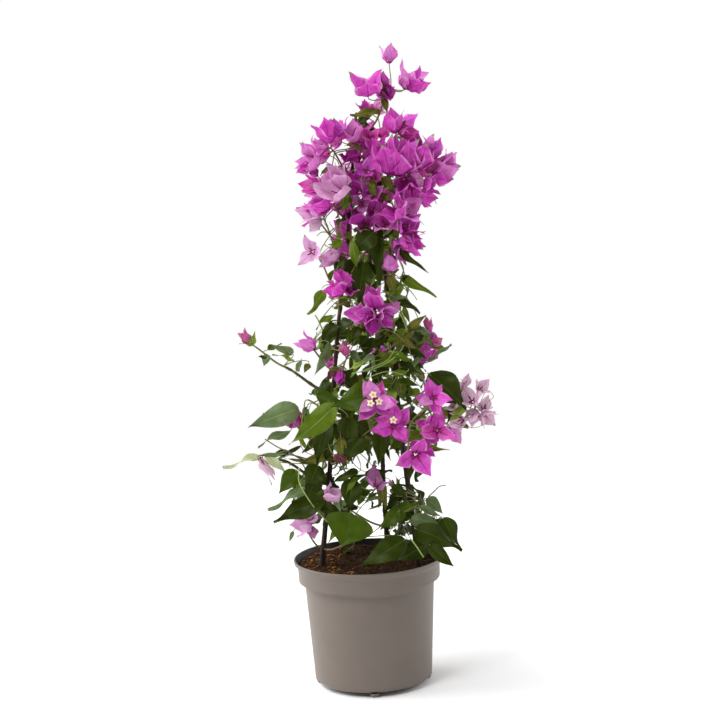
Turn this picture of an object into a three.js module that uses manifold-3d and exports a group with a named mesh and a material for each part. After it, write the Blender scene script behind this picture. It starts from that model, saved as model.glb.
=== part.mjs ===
// A bougainvillea bush in a plastic pot, grown tall and slim from three woody stems that lean
// together. Millimetres, +Z up. The origin is the middle of the pot's flat underside. X runs to
// the right as the plant is seen from its front, and Y runs away from the viewer to its back.

import * as THREE from "three";
import { mergeVertices } from "three/addons/utils/BufferGeometryUtils.js";
import Module from "manifold-3d";

const wasm = await Module();
wasm.setup();

// The pot: a band under the rim, a tapered body, and small feet that lift the base.
const pot = {
  rimRadius: 85,
  bandRadius: 80.2,
  height: 145.6,
  bandHeight: 25,
  lipHeight: 9,
  lipRound: 1.1,
  bandLean: 0.5,
  ledgeHeight: 2,
  neckRadius: 73.8,
  baseRadius: 66.9,
  cornerRadius: 6,
  wall: 2,
  footHeight: 4.8,
  footRadius: 4.6,
  footCircle: 60,
  feet: 4,
  drains: 6,
  padRadius: 12,
  drainRadius: 4,
  drainCircle: 36,
  sides: 32,
};
const soilTop = 132;
const soilEdge = { drop: 1.5, width: 8 };
const seatGap = 0.3;

// The woody stems: where each stands on the soil, where it ends, and how thick it is.
const stemFlare = 2.6;
const flareHeight = 9;
const footCrowding = 1.6;
const stemWander = 2.2;
const stems = [
  { name: "stem_left", foot: [-54, -8], top: [9, 1, 644], thick: 3, thin: 1.6, bend: 0.4 },
  { name: "stem_right", foot: [56, -27], top: [17, -3, 656], thick: 3.1, thin: 1.6, bend: 2.3 },
  { name: "stem_back", foot: [23, 50], top: [17, 12, 636], thick: 2.8, thin: 1.5, bend: 4.1 },
];

// The boughs: which stem each leaves, at what height, and where its tip is.
const boughThick = 1.9;
const boughThin = 1.3;
const boughs = [
  { name: "bough_upper_right", on: "stem_right", at: 505, tip: [70, -8, 545], arch: 0.1 },
  { name: "bough_far_left", on: "stem_left", at: 335, tip: [-84, -12, 368], arch: 0.05 },
  { name: "bough_right", on: "stem_right", at: 292, tip: [92, -22, 330], arch: 0.2 },
  { name: "bough_low_left", on: "stem_left", at: 232, tip: [-98, -20, 264], arch: 0.2 },
  { name: "bough_back_upper", on: "stem_back", at: 500, tip: [46, 38, 534], arch: 0.1 },
  { name: "bough_back_low_left", on: "stem_back", at: 272, tip: [-30, 56, 300], arch: 0.15 },
  { name: "bough_back_low_right", on: "stem_back", at: 262, tip: [52, 58, 286], arch: 0.15 },
];

// The masses of blossom and leaves. Each has one stem, from its bough's tip or from a height on
// a woody stem, to its own tip. Blossoms stand in a fan about the tip, the first at the angle
// turn, and leaves in a fan at leafTurn; facing is the bearing from which the fan is seen flat.
// fill is how many more leaves stand along the stem, and reach is the radius of the mass's space.
const masses = [
  { name: "top_blossom", on: "stem_right", at: 626, tip: [45, -14, 664], facing: -90,
    blooms: 4, turn: 97, fan: 23, bloomSize: 27,
    leaves: 1, leafTurn: 215, leafSize: 22, fill: 2, reach: 56 },
  { name: "upper_left_blossom", on: "stem_left", at: 578, tip: [-20, -22, 606], facing: -100,
    blooms: 4, turn: 55, fan: 17, bloomSize: 27,
    leaves: 1, leafTurn: 255, leafSize: 26, fill: 2, reach: 52 },
  { name: "pale_left_blossom", on: "stem_left", at: 528, tip: [-31, -28, 562], facing: -105,
    blooms: 3, turn: 40, fan: 15, bloomSize: 34,
    leaves: 1, leafTurn: 300, leafSize: 28, fill: 2, reach: 56 },
  { name: "left_tip_blossom", on: "stem_left", at: 498, tip: [-44, -16, 534], facing: -120,
    blooms: 2, turn: 150, fan: 11, bloomSize: 27,
    leaves: 1, leafTurn: 320, leafSize: 28, fill: 1, reach: 50 },
  { name: "upper_right_blossom", on: "stem_right", at: 572, tip: [58, -28, 609], facing: -80,
    blooms: 5, turn: 115, fan: 24, bloomSize: 31,
    leaves: 1, leafTurn: 250, leafSize: 28, fill: 2, reach: 60 },
  { name: "right_crown_blossom", on: "bough_upper_right", tip: [86, -10, 572], facing: -70,
    blooms: 4, turn: 10, fan: 20, bloomSize: 32,
    leaves: 1, leafTurn: 290, leafSize: 30, fill: 2, reach: 62 },
  { name: "upper_heart_blossom", on: "stem_right", at: 532, tip: [11, -38, 564], facing: -95,
    blooms: 3, turn: 80, fan: 23, bloomSize: 27,
    leaves: 2, leafTurn: 250, leafSize: 32, fill: 1, reach: 52 },
  { name: "middle_heart_blossom", on: "stem_right", at: 480, tip: [48, -34, 519], facing: -80,
    blooms: 4, turn: 120, fan: 22, bloomSize: 29,
    leaves: 2, leafTurn: 270, leafSize: 34, fill: 2, reach: 56 },
  { name: "right_small_blossom", on: "stem_right", at: 440, tip: [44, -30, 474], facing: -75,
    blooms: 1, turn: 95, fan: 8, bloomSize: 26,
    leaves: 3, leafTurn: 330, leafSize: 36, fill: 2, reach: 54 },
  { name: "dark_upper_leaves", on: "stem_left", at: 462, tip: [11, -28, 492], facing: -95,
    blooms: 0, turn: 0, fan: 6, bloomSize: 0,
    leaves: 4, leafTurn: 280, leafSize: 46, fill: 2, reach: 58 },
  { name: "left_pair_blossom", on: "stem_left", at: 448, tip: [-38, -16, 484], facing: -110,
    blooms: 2, turn: 165, fan: 11, bloomSize: 26,
    leaves: 2, leafTurn: 20, leafSize: 26, fill: 1, reach: 46 },
  { name: "left_bright_blossom", on: "stem_left", at: 424, tip: [-18, -36, 457], facing: -100,
    blooms: 2, turn: 70, fan: 10, bloomSize: 30,
    leaves: 2, leafTurn: 215, leafSize: 32, fill: 1, reach: 50 },
  { name: "middle_blossom", on: "stem_left", at: 388, tip: [12, -44, 427], facing: -90,
    blooms: 4, turn: 60, fan: 23, bloomSize: 29,
    leaves: 1, leafTurn: 290, leafSize: 36, fill: 2, reach: 60 },
  { name: "middle_right_leaves", on: "stem_right", at: 408, tip: [56, -16, 442], facing: -65,
    blooms: 0, turn: 0, fan: 6, bloomSize: 0,
    leaves: 5, leafTurn: 340, leafSize: 32, fill: 2, reach: 56 },
  { name: "small_left_blossom", on: "stem_left", at: 362, tip: [-52, -20, 388], facing: -110,
    blooms: 1, turn: 120, fan: 12, bloomSize: 25,
    leaves: 4, leafTurn: 250, leafSize: 30, fill: 2, reach: 50 },
  { name: "far_left_spray", on: "bough_far_left", tip: [-122, -12, 396], facing: -95,
    blooms: 1, turn: 120, fan: 7, bloomSize: 16,
    leaves: 0, leafTurn: 0, leafSize: 17, fill: 5, reach: 52 },
  { name: "right_pair_blossom", on: "stem_right", at: 352, tip: [79, -16, 394], facing: -75,
    blooms: 2, turn: 95, fan: 14, bloomSize: 23,
    leaves: 3, leafTurn: 320, leafSize: 34, fill: 2, reach: 52 },
  { name: "right_tangle", on: "stem_right", at: 332, tip: [44, -34, 375], facing: -85,
    blooms: 0, turn: 0, fan: 8, bloomSize: 0,
    leaves: 5, leafTurn: 15, leafSize: 36, fill: 3, reach: 54 },
  { name: "left_tangle", on: "stem_left", at: 340, tip: [-14, -36, 377], facing: -100,
    blooms: 1, turn: 95, fan: 10, bloomSize: 18,
    leaves: 5, leafTurn: 200, leafSize: 34, fill: 3, reach: 52 },
  { name: "star_blossom", on: "stem_right", at: 262, tip: [52, -60, 305], facing: -85,
    blooms: 5, turn: 55, fan: 36, bloomSize: 31,
    leaves: 3, leafTurn: 20, leafSize: 34, fill: 2, reach: 76 },
  { name: "faded_spray", on: "bough_right", tip: [124, -28, 318], facing: -85,
    blooms: 6, turn: 60, fan: 18, bloomSize: 20,
    leaves: 1, leafTurn: 200, leafSize: 26, fill: 1, reach: 50 },
  { name: "right_leaves", on: "stem_right", at: 318, tip: [84, -4, 340], facing: -75,
    blooms: 0, turn: 0, fan: 5, bloomSize: 0,
    leaves: 2, leafTurn: 318, leafSize: 48, fill: 3, reach: 58 },
  { name: "left_core_leaves", on: "stem_left", at: 288, tip: [-30, -56, 326], facing: -95,
    blooms: 1, turn: 200, fan: 28, bloomSize: 14,
    leaves: 5, leafTurn: 10, leafSize: 48, fill: 3, reach: 66 },
  { name: "left_leaves", on: "stem_left", at: 272, tip: [-84, -28, 312], facing: -100,
    blooms: 0, turn: 0, fan: 5, bloomSize: 0,
    leaves: 4, leafTurn: 180, leafSize: 50, fill: 2, reach: 62 },
  { name: "low_left_spray", on: "bough_low_left", tip: [-114, -22, 260], facing: -95,
    blooms: 1, turn: 300, fan: 14, bloomSize: 24,
    leaves: 3, leafTurn: 182, leafSize: 36, fill: 2, reach: 56 },
  { name: "lower_left_leaves", on: "stem_left", at: 198, tip: [-74, -36, 232], facing: -100,
    blooms: 0, turn: 0, fan: 8, bloomSize: 0,
    leaves: 6, leafTurn: 205, leafSize: 46, fill: 3, reach: 62 },
  { name: "front_core_leaves", on: "stem_left", at: 256, tip: [-10, -60, 288], facing: -90,
    blooms: 0, turn: 0, fan: 10, bloomSize: 0,
    leaves: 6, leafTurn: 260, leafSize: 42, fill: 3, reach: 62 },
  { name: "low_pair_blossom", on: "stem_left", at: 208, tip: [-13, -56, 240], facing: -90,
    blooms: 2, turn: 12, fan: 25, bloomSize: 25,
    leaves: 3, leafTurn: 210, leafSize: 32, fill: 1, reach: 56 },
  { name: "low_left_blossom", on: "stem_left", at: 160, tip: [-70, -32, 188], facing: -115,
    blooms: 1, turn: 180, fan: 6, bloomSize: 28,
    leaves: 2, leafTurn: 20, leafSize: 30, fill: 1, reach: 48 },
  { name: "front_leaves", on: "stem_left", at: 158, tip: [-4, -60, 182], facing: -90,
    blooms: 0, turn: 0, fan: 8, bloomSize: 0,
    leaves: 3, leafTurn: 300, leafSize: 48, fill: 2, reach: 60 },
  { name: "low_right_leaves", on: "stem_right", at: 160, tip: [75, -42, 172], facing: -80,
    blooms: 0, turn: 0, fan: 8, bloomSize: 0,
    leaves: 6, leafTurn: 315, leafSize: 44, fill: 3, reach: 60 },
  { name: "lower_right_leaves", on: "stem_right", at: 186, tip: [62, -30, 204], facing: -75,
    blooms: 0, turn: 0, fan: 8, bloomSize: 0,
    leaves: 5, leafTurn: 10, leafSize: 34, fill: 2, reach: 54 },
  { name: "left_side_blossom", on: "stem_left", at: 484, tip: [-32, 26, 526], facing: 160,
    blooms: 3, turn: 80, fan: 18, bloomSize: 27,
    leaves: 2, leafTurn: 240, leafSize: 32, fill: 2, reach: 54 },
  { name: "right_side_blossom", on: "stem_right", at: 424, tip: [54, 26, 464], facing: 15,
    blooms: 2, turn: 60, fan: 18, bloomSize: 27,
    leaves: 3, leafTurn: 200, leafSize: 36, fill: 2, reach: 54 },
  { name: "left_side_leaves", on: "stem_left", at: 214, tip: [-74, 30, 254], facing: 175,
    blooms: 0, turn: 0, fan: 8, bloomSize: 0,
    leaves: 5, leafTurn: 250, leafSize: 44, fill: 3, reach: 60 },
  { name: "right_side_leaves", on: "stem_right", at: 170, tip: [80, 22, 186], facing: 0,
    blooms: 0, turn: 0, fan: 8, bloomSize: 0,
    leaves: 4, leafTurn: 230, leafSize: 40, fill: 3, reach: 60 },
  { name: "back_top_blossom", on: "stem_back", at: 592, tip: [34, 34, 622], facing: 60,
    blooms: 4, turn: 80, fan: 22, bloomSize: 28,
    leaves: 2, leafTurn: 250, leafSize: 30, fill: 2, reach: 54 },
  { name: "back_left_blossom", on: "stem_back", at: 540, tip: [-14, 42, 578], facing: 125,
    blooms: 4, turn: 40, fan: 22, bloomSize: 28,
    leaves: 2, leafTurn: 280, leafSize: 32, fill: 2, reach: 58 },
  { name: "back_right_blossom", on: "bough_back_upper", tip: [70, 42, 553], facing: 35,
    blooms: 4, turn: 100, fan: 22, bloomSize: 29,
    leaves: 2, leafTurn: 240, leafSize: 34, fill: 2, reach: 58 },
  { name: "back_heart_blossom", on: "stem_back", at: 462, tip: [16, 58, 497], facing: 95,
    blooms: 3, turn: 20, fan: 22, bloomSize: 28,
    leaves: 3, leafTurn: 270, leafSize: 38, fill: 2, reach: 58 },
  { name: "left_back_leaves", on: "stem_left", at: 384, tip: [-48, 40, 418], facing: 145,
    blooms: 1, turn: 60, fan: 16, bloomSize: 26,
    leaves: 4, leafTurn: 200, leafSize: 38, fill: 3, reach: 58 },
  { name: "right_back_leaves", on: "stem_back", at: 372, tip: [70, 44, 402], facing: 30,
    blooms: 2, turn: 110, fan: 18, bloomSize: 26,
    leaves: 4, leafTurn: 300, leafSize: 38, fill: 3, reach: 58 },
  { name: "back_middle_leaves", on: "stem_back", at: 342, tip: [12, 74, 384], facing: 95,
    blooms: 2, turn: 70, fan: 20, bloomSize: 27,
    leaves: 4, leafTurn: 230, leafSize: 40, fill: 3, reach: 58 },
  { name: "back_low_left_leaves", on: "bough_back_low_left", tip: [-62, 62, 318], facing: 140,
    blooms: 2, turn: 90, fan: 22, bloomSize: 28,
    leaves: 5, leafTurn: 170, leafSize: 44, fill: 3, reach: 62 },
  { name: "back_low_right_leaves", on: "bough_back_low_right", tip: [88, 58, 300], facing: 35,
    blooms: 2, turn: 70, fan: 22, bloomSize: 28,
    leaves: 5, leafTurn: 330, leafSize: 44, fill: 3, reach: 62 },
  { name: "back_core_leaves", on: "stem_back", at: 246, tip: [12, 86, 280], facing: 90,
    blooms: 1, turn: 80, fan: 20, bloomSize: 27,
    leaves: 5, leafTurn: 260, leafSize: 44, fill: 3, reach: 62 },
  { name: "back_foot_left_leaves", on: "stem_back", at: 168, tip: [-42, 72, 196], facing: 130,
    blooms: 0, turn: 0, fan: 8, bloomSize: 0,
    leaves: 5, leafTurn: 210, leafSize: 44, fill: 3, reach: 60 },
  { name: "back_foot_right_leaves", on: "stem_back", at: 152, tip: [62, 72, 176], facing: 50,
    blooms: 0, turn: 0, fan: 8, bloomSize: 0,
    leaves: 5, leafTurn: 320, leafSize: 42, fill: 2, reach: 60 },
];

// Twigs, leaves and bracts. A leaf is widest below its middle; three bracts make one blossom.
const twigThick = 1.25;
const twigThin = 0.9;
const stemArch = 0.08;
const fanRise = 14;
const fanDepth = 0.8;
const leafDroop = 0.25;
const fillDroop = 0.35;
const spiralTurn = 137.5;
const leafStalk = 9;
const leafWidth = 0.68;
const leafBelly = 0.36;
const leafRootThickness = 1.6;
const bractOpening = 58;
const bractNotch = 0.52;
const bractThickness = 0.045;
const rootDepth = 1.1;
const clearance = 0.3;
const finestDetail = 0.06;
const finestSliver = 0.0005;

const colours = {
  pot: 0x766c64,
  soil: 0x3a2417,
  stem: 0x6b4d33,
  bough: 0x5f6136,
  leaves: 0x3d5a1c,
  blossom: 0xb932ab,
};

const up = new THREE.Vector3(0, 0, 1);
const point = (place) => new THREE.Vector3(...place);
const radians = THREE.MathUtils.degToRad;

// The seeded rule's draws: the same seed and number always give the same share from 0 to 1.
function chance(seed, number) {
  const wave = Math.sin(seed * 12.9898 + number * 78.233) * 43758.5453;
  return wave - Math.floor(wave);
}

function material(color, roughness) {
  return new THREE.MeshStandardMaterial({ color, roughness, metalness: 0 });
}

// A closed geometry as a solid that can be joined and cut, its faces turned over if flipped.
function solidOf(geometry, flipped = false) {
  const bare = geometry.clone();
  bare.deleteAttribute("normal");
  bare.deleteAttribute("uv");
  const merged = mergeVertices(bare, 1e-5);
  const corners = new Uint32Array(merged.index.array);
  return new wasm.Manifold(new wasm.Mesh({
    numProp: 3,
    vertProperties: new Float32Array(merged.attributes.position.array),
    triVerts: flipped ? corners.reverse() : corners,
  }));
}

function geometryOf(solid) {
  const mesh = solid.getMesh();
  const geometry = new THREE.BufferGeometry();
  geometry.setAttribute("position", new THREE.BufferAttribute(mesh.vertProperties, 3));
  geometry.setIndex(new THREE.BufferAttribute(mesh.triVerts, 1));
  geometry.computeVertexNormals();
  return geometry;
}

// A profile of [radius, height] points turned about the Z axis.
function turned(profile) {
  const outline = profile.map(([radius, height]) => new THREE.Vector2(radius, height));
  return solidOf(new THREE.LatheGeometry(outline, pot.sides).rotateX(Math.PI / 2));
}

function upright(radius, bottom, top, x, y, sides) {
  const geometry = new THREE.CylinderGeometry(radius, radius, top - bottom, sides);
  return solidOf(geometry.rotateX(Math.PI / 2).translate(x, y, (top + bottom) / 2));
}

// The points of an arc about its middle, between two angles in degrees.
function arc(middle, radius, from, to, steps) {
  return Array.from({ length: steps + 1 }, (_, step) => {
    const angle = radians(from + ((to - from) * step) / steps);
    return [middle[0] + radius * Math.cos(angle), middle[1] + radius * Math.sin(angle)];
  });
}

function makePot() {
  const base = pot.footHeight;
  const bandFoot = pot.height - pot.bandHeight;
  const lipFoot = pot.height - pot.lipHeight;
  const lipRadius = pot.bandRadius + pot.bandLean;
  const floor = base + pot.wall;
  const corner = [pot.baseRadius - pot.cornerRadius, base + pot.cornerRadius];
  const shell = turned([
    [0, base],
    ...arc(corner, pot.cornerRadius, -90, 0, 3),
    [pot.neckRadius, bandFoot],
    [pot.bandRadius - pot.ledgeHeight / 2, bandFoot + pot.ledgeHeight / 4],
    [pot.bandRadius, bandFoot + pot.ledgeHeight],
    [lipRadius, lipFoot],
    ...arc([pot.rimRadius - pot.lipRound, pot.height - pot.lipRound], pot.lipRound, -20, 160, 3),
    [lipRadius - pot.wall, lipFoot],
    [pot.bandRadius - pot.wall, bandFoot + pot.ledgeHeight + pot.wall],
    [pot.neckRadius - pot.wall, bandFoot],
    ...arc(corner, pot.cornerRadius - pot.wall, 0, -90, 2),
    [0, floor],
  ]);
  const middlePad = upright(pot.padRadius, 0, base + pot.wall / 2, 0, 0, 12);
  const around = (count, radius, turn) => Array.from({ length: count }, (_, place) => {
    const angle = radians((360 / count) * place + turn);
    return [radius * Math.cos(angle), radius * Math.sin(angle)];
  });
  const feet = around(pot.feet, pot.footCircle, -90).map(([x, y]) => (
    upright(pot.footRadius, 0, floor, x, y, 6)));
  const drains = around(pot.drains, pot.drainCircle, -60).map(([x, y]) => (
    upright(pot.drainRadius, base - pot.wall, floor + pot.wall, x, y, 8)));
  const whole = wasm.Manifold.union([shell, middlePad, ...feet]);
  return whole.subtract(wasm.Manifold.union(drains));
}

// The soil fills the pot's inside with a seat's gap all round, and domes a little.
function makeSoil() {
  const base = pot.footHeight + pot.wall + seatGap;
  const bandFoot = pot.height - pot.bandHeight;
  const inset = pot.wall + seatGap;
  const corner = pot.cornerRadius - pot.wall - seatGap;
  const wallTop = pot.bandRadius - inset;
  return turned([
    [0, base],
    ...arc([pot.baseRadius - pot.cornerRadius, base + corner], corner, -90, 0, 2),
    [pot.neckRadius - inset, bandFoot],
    [wallTop, bandFoot + pot.ledgeHeight + pot.wall + 2 * seatGap],
    [wallTop, soilTop - soilEdge.drop],
    [wallTop - soilEdge.width, soilTop],
    [0, soilTop],
  ]);
}

// A round limb along a curve, its radius given by the share of the way along it. The cylinder's
// rings are carried to the curve, each square to it. A limb that stands on the soil starts level,
// and its rings crowd towards its foot.
function bent(curve, radiusAt, steps, sides, stands = false) {
  const geometry = new THREE.CylinderGeometry(1, 1, 1, sides, steps);
  const frames = curve.computeFrenetFrames(steps, false);
  const places = geometry.attributes.position;
  for (let corner = 0; corner < places.count; corner += 1) {
    const ring = Math.round((places.getY(corner) + 0.5) * steps);
    const share = (ring / steps) ** (stands ? footCrowding : 1);
    const place = curve.getPoint(share);
    const across = frames.normals[ring].clone();
    const beside = frames.binormals[ring].clone();
    if (stands && ring === 0) {
      across.setZ(0).normalize();
      beside.crossVectors(up, across);
    }
    place.addScaledVector(across, places.getX(corner) * radiusAt(share));
    place.addScaledVector(beside, -places.getZ(corner) * radiusAt(share));
    places.setXYZ(corner, place.x, place.y, place.z);
  }
  return outward(geometry);
}

// A geometry's solid with its faces turned outward.
function outward(geometry) {
  const solid = solidOf(geometry);
  return solid.volume() > 0 ? solid : solidOf(geometry, true);
}

class StemCurve extends THREE.Curve {
  constructor(stem) {
    super();
    this.foot = new THREE.Vector3(stem.foot[0], stem.foot[1], soilTop + seatGap);
    this.head = point(stem.top);
    this.bend = stem.bend;
  }

  getPoint(share, target = new THREE.Vector3()) {
    const swing = stemWander * Math.sin(Math.PI * share);
    target.lerpVectors(this.foot, this.head, share);
    target.x += swing * Math.sin(9 * share + this.bend);
    target.y += swing * Math.cos(7 * share + this.bend);
    return target;
  }
}

// A curve from a place on a limb to a tip. It sets out square to the limb, along leave, and
// its further half is lifted by a share of its length.
function arched(start, leave, end, arch) {
  const length = start.distanceTo(end);
  const first = start.clone().addScaledVector(leave, 0.3 * length);
  const second = start.clone().lerp(end, 0.7).addScaledVector(up, arch * length);
  return new THREE.CubicBezierCurve3(start, first, second, end);
}

// The limbs that carry others: their curve and their radius at a height or at their tip.
const limbs = new Map();

function addStem(stem) {
  const curve = new StemCurve(stem);
  const length = stem.top[2] - soilTop;
  const radiusAt = (share) => (
    THREE.MathUtils.lerp(stem.thick, stem.thin, share)
    + stemFlare * Math.exp((-share * length) / flareHeight));
  const solid = bent(curve, radiusAt, 18, 6, true);
  limbs.set(stem.name, { curve, radiusAt, foot: curve.foot.z, length, solid });
  return solid;
}

// Where something that grows towards a place leaves a limb, and the direction it sets out in:
// on from a bough's tip, or square to a stem's side.
function leaving(limbName, height, towards) {
  const limb = limbs.get(limbName);
  if (limb.tip) {
    const leave = limb.curve.getTangent(1);
    return { start: limb.tip.clone().addScaledVector(leave, seatGap), leave };
  }
  const share = (height - limb.foot) / limb.length;
  const axis = limb.curve.getPoint(share);
  const tangent = limb.curve.getTangent(share);
  const leave = towards.clone().sub(axis);
  leave.addScaledVector(tangent, -leave.dot(tangent)).normalize();
  return { start: axis.addScaledVector(leave, limb.radiusAt(share) + seatGap), leave };
}

function addBough(bough) {
  const tip = point(bough.tip);
  const { start, leave } = leaving(bough.on, bough.at, tip);
  const curve = arched(start, leave, tip, bough.arch);
  const radiusAt = (share) => THREE.MathUtils.lerp(boughThick, boughThin, share);
  const solid = bent(curve, radiusAt, 7, 5);
  limbs.set(bough.name, { curve, radiusAt, tip, solid });
  return solid;
}

// Right and upward directions square to an outward one.
function axesAbout(out) {
  const right = new THREE.Vector3().crossVectors(up, out).normalize();
  const lift = new THREE.Vector3().crossVectors(out, right).normalize();
  return { out, right, lift };
}

// A leaf on its stalk: a thin plate in the outline of a kite, thick at its root and sharp at
// its edges and tip. The margin lets it grow for clearance tests.
function leafPlate(root, along, facing, size, margin) {
  const across = new THREE.Vector3().crossVectors(facing, along).normalize();
  const square = new THREE.Vector3().crossVectors(along, across).normalize();
  const halfWidth = (size * leafWidth + margin) / 2;
  const halfRoot = (leafRootThickness + margin) / 2;
  const place = (distance, sideways, upwards) => root.clone()
    .addScaledVector(along, distance)
    .addScaledVector(across, sideways)
    .addScaledVector(square, upwards);
  const widest = leafStalk + leafBelly * size;
  const leaf = new THREE.BufferGeometry().setFromPoints([
    place(0, 0, halfRoot),
    place(0, 0, -halfRoot),
    place(widest, halfWidth, 0),
    place(widest, -halfWidth, 0),
    place(leafStalk + size + margin, 0, 0),
  ]);
  leaf.setIndex([0, 2, 4, 0, 4, 3, 1, 4, 2, 1, 3, 4, 0, 1, 2, 0, 3, 1]);
  return outward(leaf);
}

// Three bracts as one shallow cup with three points: its edge runs in a zigzag of tips and
// notches, and is joined to one place under the cup and one inside it.
function bractCup(seat, facing, roll, size, opening, margin) {
  const { right, lift } = axesAbout(facing);
  const edge = Array.from({ length: 6 }, (_, number) => {
    const turn = radians(roll + 60 * number);
    const reach = number % 2 === 0 ? size + margin : size * bractNotch + margin;
    const spread = right.clone().multiplyScalar(Math.cos(turn)).addScaledVector(lift, Math.sin(turn));
    const place = seat.clone().addScaledVector(facing, reach * Math.cos(opening));
    return place.addScaledVector(spread, reach * Math.sin(opening));
  });
  const under = seat.clone().addScaledVector(facing, -margin);
  const inside = seat.clone().addScaledVector(facing, size * bractThickness + margin);
  const cup = new THREE.BufferGeometry().setFromPoints([...edge, under, inside]);
  const faces = edge.flatMap((_, number) => {
    const next = (number + 1) % 6;
    return [number, next, 6, next, number, 7];
  });
  cup.setIndex(faces);
  return outward(cup);
}

function twig(curve, thick, thin, steps, margin) {
  const radiusAt = (share) => THREE.MathUtils.lerp(thick, thin, share) + margin;
  return bent(curve, radiusAt, steps, 3);
}

// The directions of a fan that is seen flat from a bearing, a little from above.
function fanAxes(bearing) {
  const rise = radians(fanRise);
  const turn = radians(bearing);
  const level = new THREE.Vector3(Math.cos(turn), Math.sin(turn), 0).multiplyScalar(Math.cos(rise));
  return axesAbout(level.addScaledVector(up, Math.sin(rise)));
}

function inFan(axes, degrees, outShare) {
  const angle = radians(degrees);
  return new THREE.Vector3()
    .addScaledVector(axes.right, Math.cos(angle))
    .addScaledVector(axes.lift, Math.sin(angle))
    .addScaledVector(axes.out, outShare)
    .normalize();
}

// Everything that may grow on a mass, in the order in which it is tried. Each sprig is a list
// of twigs and plates that stand or fall together, each with the margin as its argument.
function sprigsOf(mass, seed) {
  const tip = point(mass.tip);
  const { start, leave } = leaving(mass.on, mass.at, tip);
  const stemCurve = arched(start, leave, tip, stemArch);
  const axes = fanAxes(mass.facing);
  const sprigs = [];
  const stem = twig(stemCurve, twigThick, twigThin, 4, 0);
  const rooted = (root, along) => root.clone().addScaledVector(along, -rootDepth);

  for (let number = 0; number < mass.blooms; number += 1) {
    const angle = mass.turn + (360 / mass.blooms) * number + 24 * (chance(seed, number) - 0.5);
    const away = inFan(axes, angle, 0.25);
    const seat = tip.clone().addScaledVector(away, mass.fan * (0.88 + 0.24 * chance(seed, number + 20)));
    const facing = inFan(axes, angle, 1.1);
    const size = mass.bloomSize * (0.9 + 0.2 * chance(seed, number + 40));
    const roll = 360 * chance(seed, number + 60);
    const opening = radians(bractOpening * (0.8 + 0.5 * chance(seed, number + 80)));
    const neck = seat.clone().addScaledVector(facing, rootDepth);
    sprigs.push({ layer: 0, parts: [
      (margin) => twig(new THREE.LineCurve3(rooted(tip, away), neck), twigThin, twigThin, 1, margin),
      (margin) => bractCup(seat, facing, roll, size, opening, margin),
    ] });
  }

  for (let number = 0; number < mass.leaves; number += 1) {
    const angle = mass.leafTurn + (360 / mass.leaves) * number + 30 * (chance(seed, number + 100) - 0.5);
    const share = (mass.blooms > 0 ? 0.65 : 0.8) + 0.2 * chance(seed, number + 120);
    const along = inFan(axes, angle, fanDepth * (2 * chance(seed, number + 110) - 0.7));
    along.addScaledVector(up, -leafDroop).normalize();
    const root = rooted(stemCurve.getPoint(share), along);
    const size = mass.leafSize * (0.85 + 0.3 * chance(seed, number + 140));
    const facing = axes.out.clone().addScaledVector(up, 0.5 * chance(seed, number + 160));
    sprigs.push({ layer: 1, parts: [(margin) => leafPlate(root, along, facing, size, margin)] });
  }

  for (let number = 0; number < mass.fill; number += 1) {
    const share = 0.25 + (0.6 * (number + chance(seed, number + 200))) / mass.fill;
    const angle = spiralTurn * number + 360 * chance(seed, 220);
    const along = inFan(axes, angle, fanDepth * (2 * chance(seed, number + 240) - 1.2));
    along.addScaledVector(up, -fillDroop).normalize();
    const root = rooted(stemCurve.getPoint(share), along);
    const size = mass.leafSize * (0.7 + 0.35 * chance(seed, number + 260));
    const facing = axes.out.clone().addScaledVector(up, 0.4 + 0.6 * chance(seed, number + 280));
    sprigs.push({ layer: 2, parts: [(margin) => leafPlate(root, along, facing, size, margin)] });
  }
  return { stem, sprigs, middle: start.clone().lerp(tip, 0.75) };
}

// Whether a solid stays one closed body once its corners are rounded: every edge then joins two
// faces, and no face is a sliver.
function isSound(solid) {
  const { vertProperties, triVerts } = solid.getMesh();
  const corner = (number) => Array.from(vertProperties.subarray(3 * number, 3 * number + 3));
  const key = (number) => corner(number).map((value) => value.toFixed(3)).join();
  const edges = new Map();
  for (let face = 0; face < triVerts.length; face += 3) {
    const numbers = Array.from(triVerts.subarray(face, face + 3));
    const triangle = new THREE.Triangle(...numbers.map((number) => point(corner(number))));
    const longest = Math.max(
      triangle.a.distanceTo(triangle.b),
      triangle.b.distanceTo(triangle.c),
      triangle.c.distanceTo(triangle.a),
    );
    if (triangle.getArea() < finestSliver * longest) {
      return false;
    }
    numbers.forEach((number, side) => {
      const ends = [key(number), key(numbers[(side + 1) % 3])];
      const edge = ends.slice().sort().join(" ");
      edges.set(edge, (edges.get(edge) ?? 0) + 1);
    });
  }
  return [...edges.values()].every((count) => count === 2) && solid.decompose().length === 1;
}

function boxesMeet(one, other) {
  return [0, 1, 2].every((axis) => one.min[axis] < other.max[axis] && other.min[axis] < one.max[axis]);
}

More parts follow.
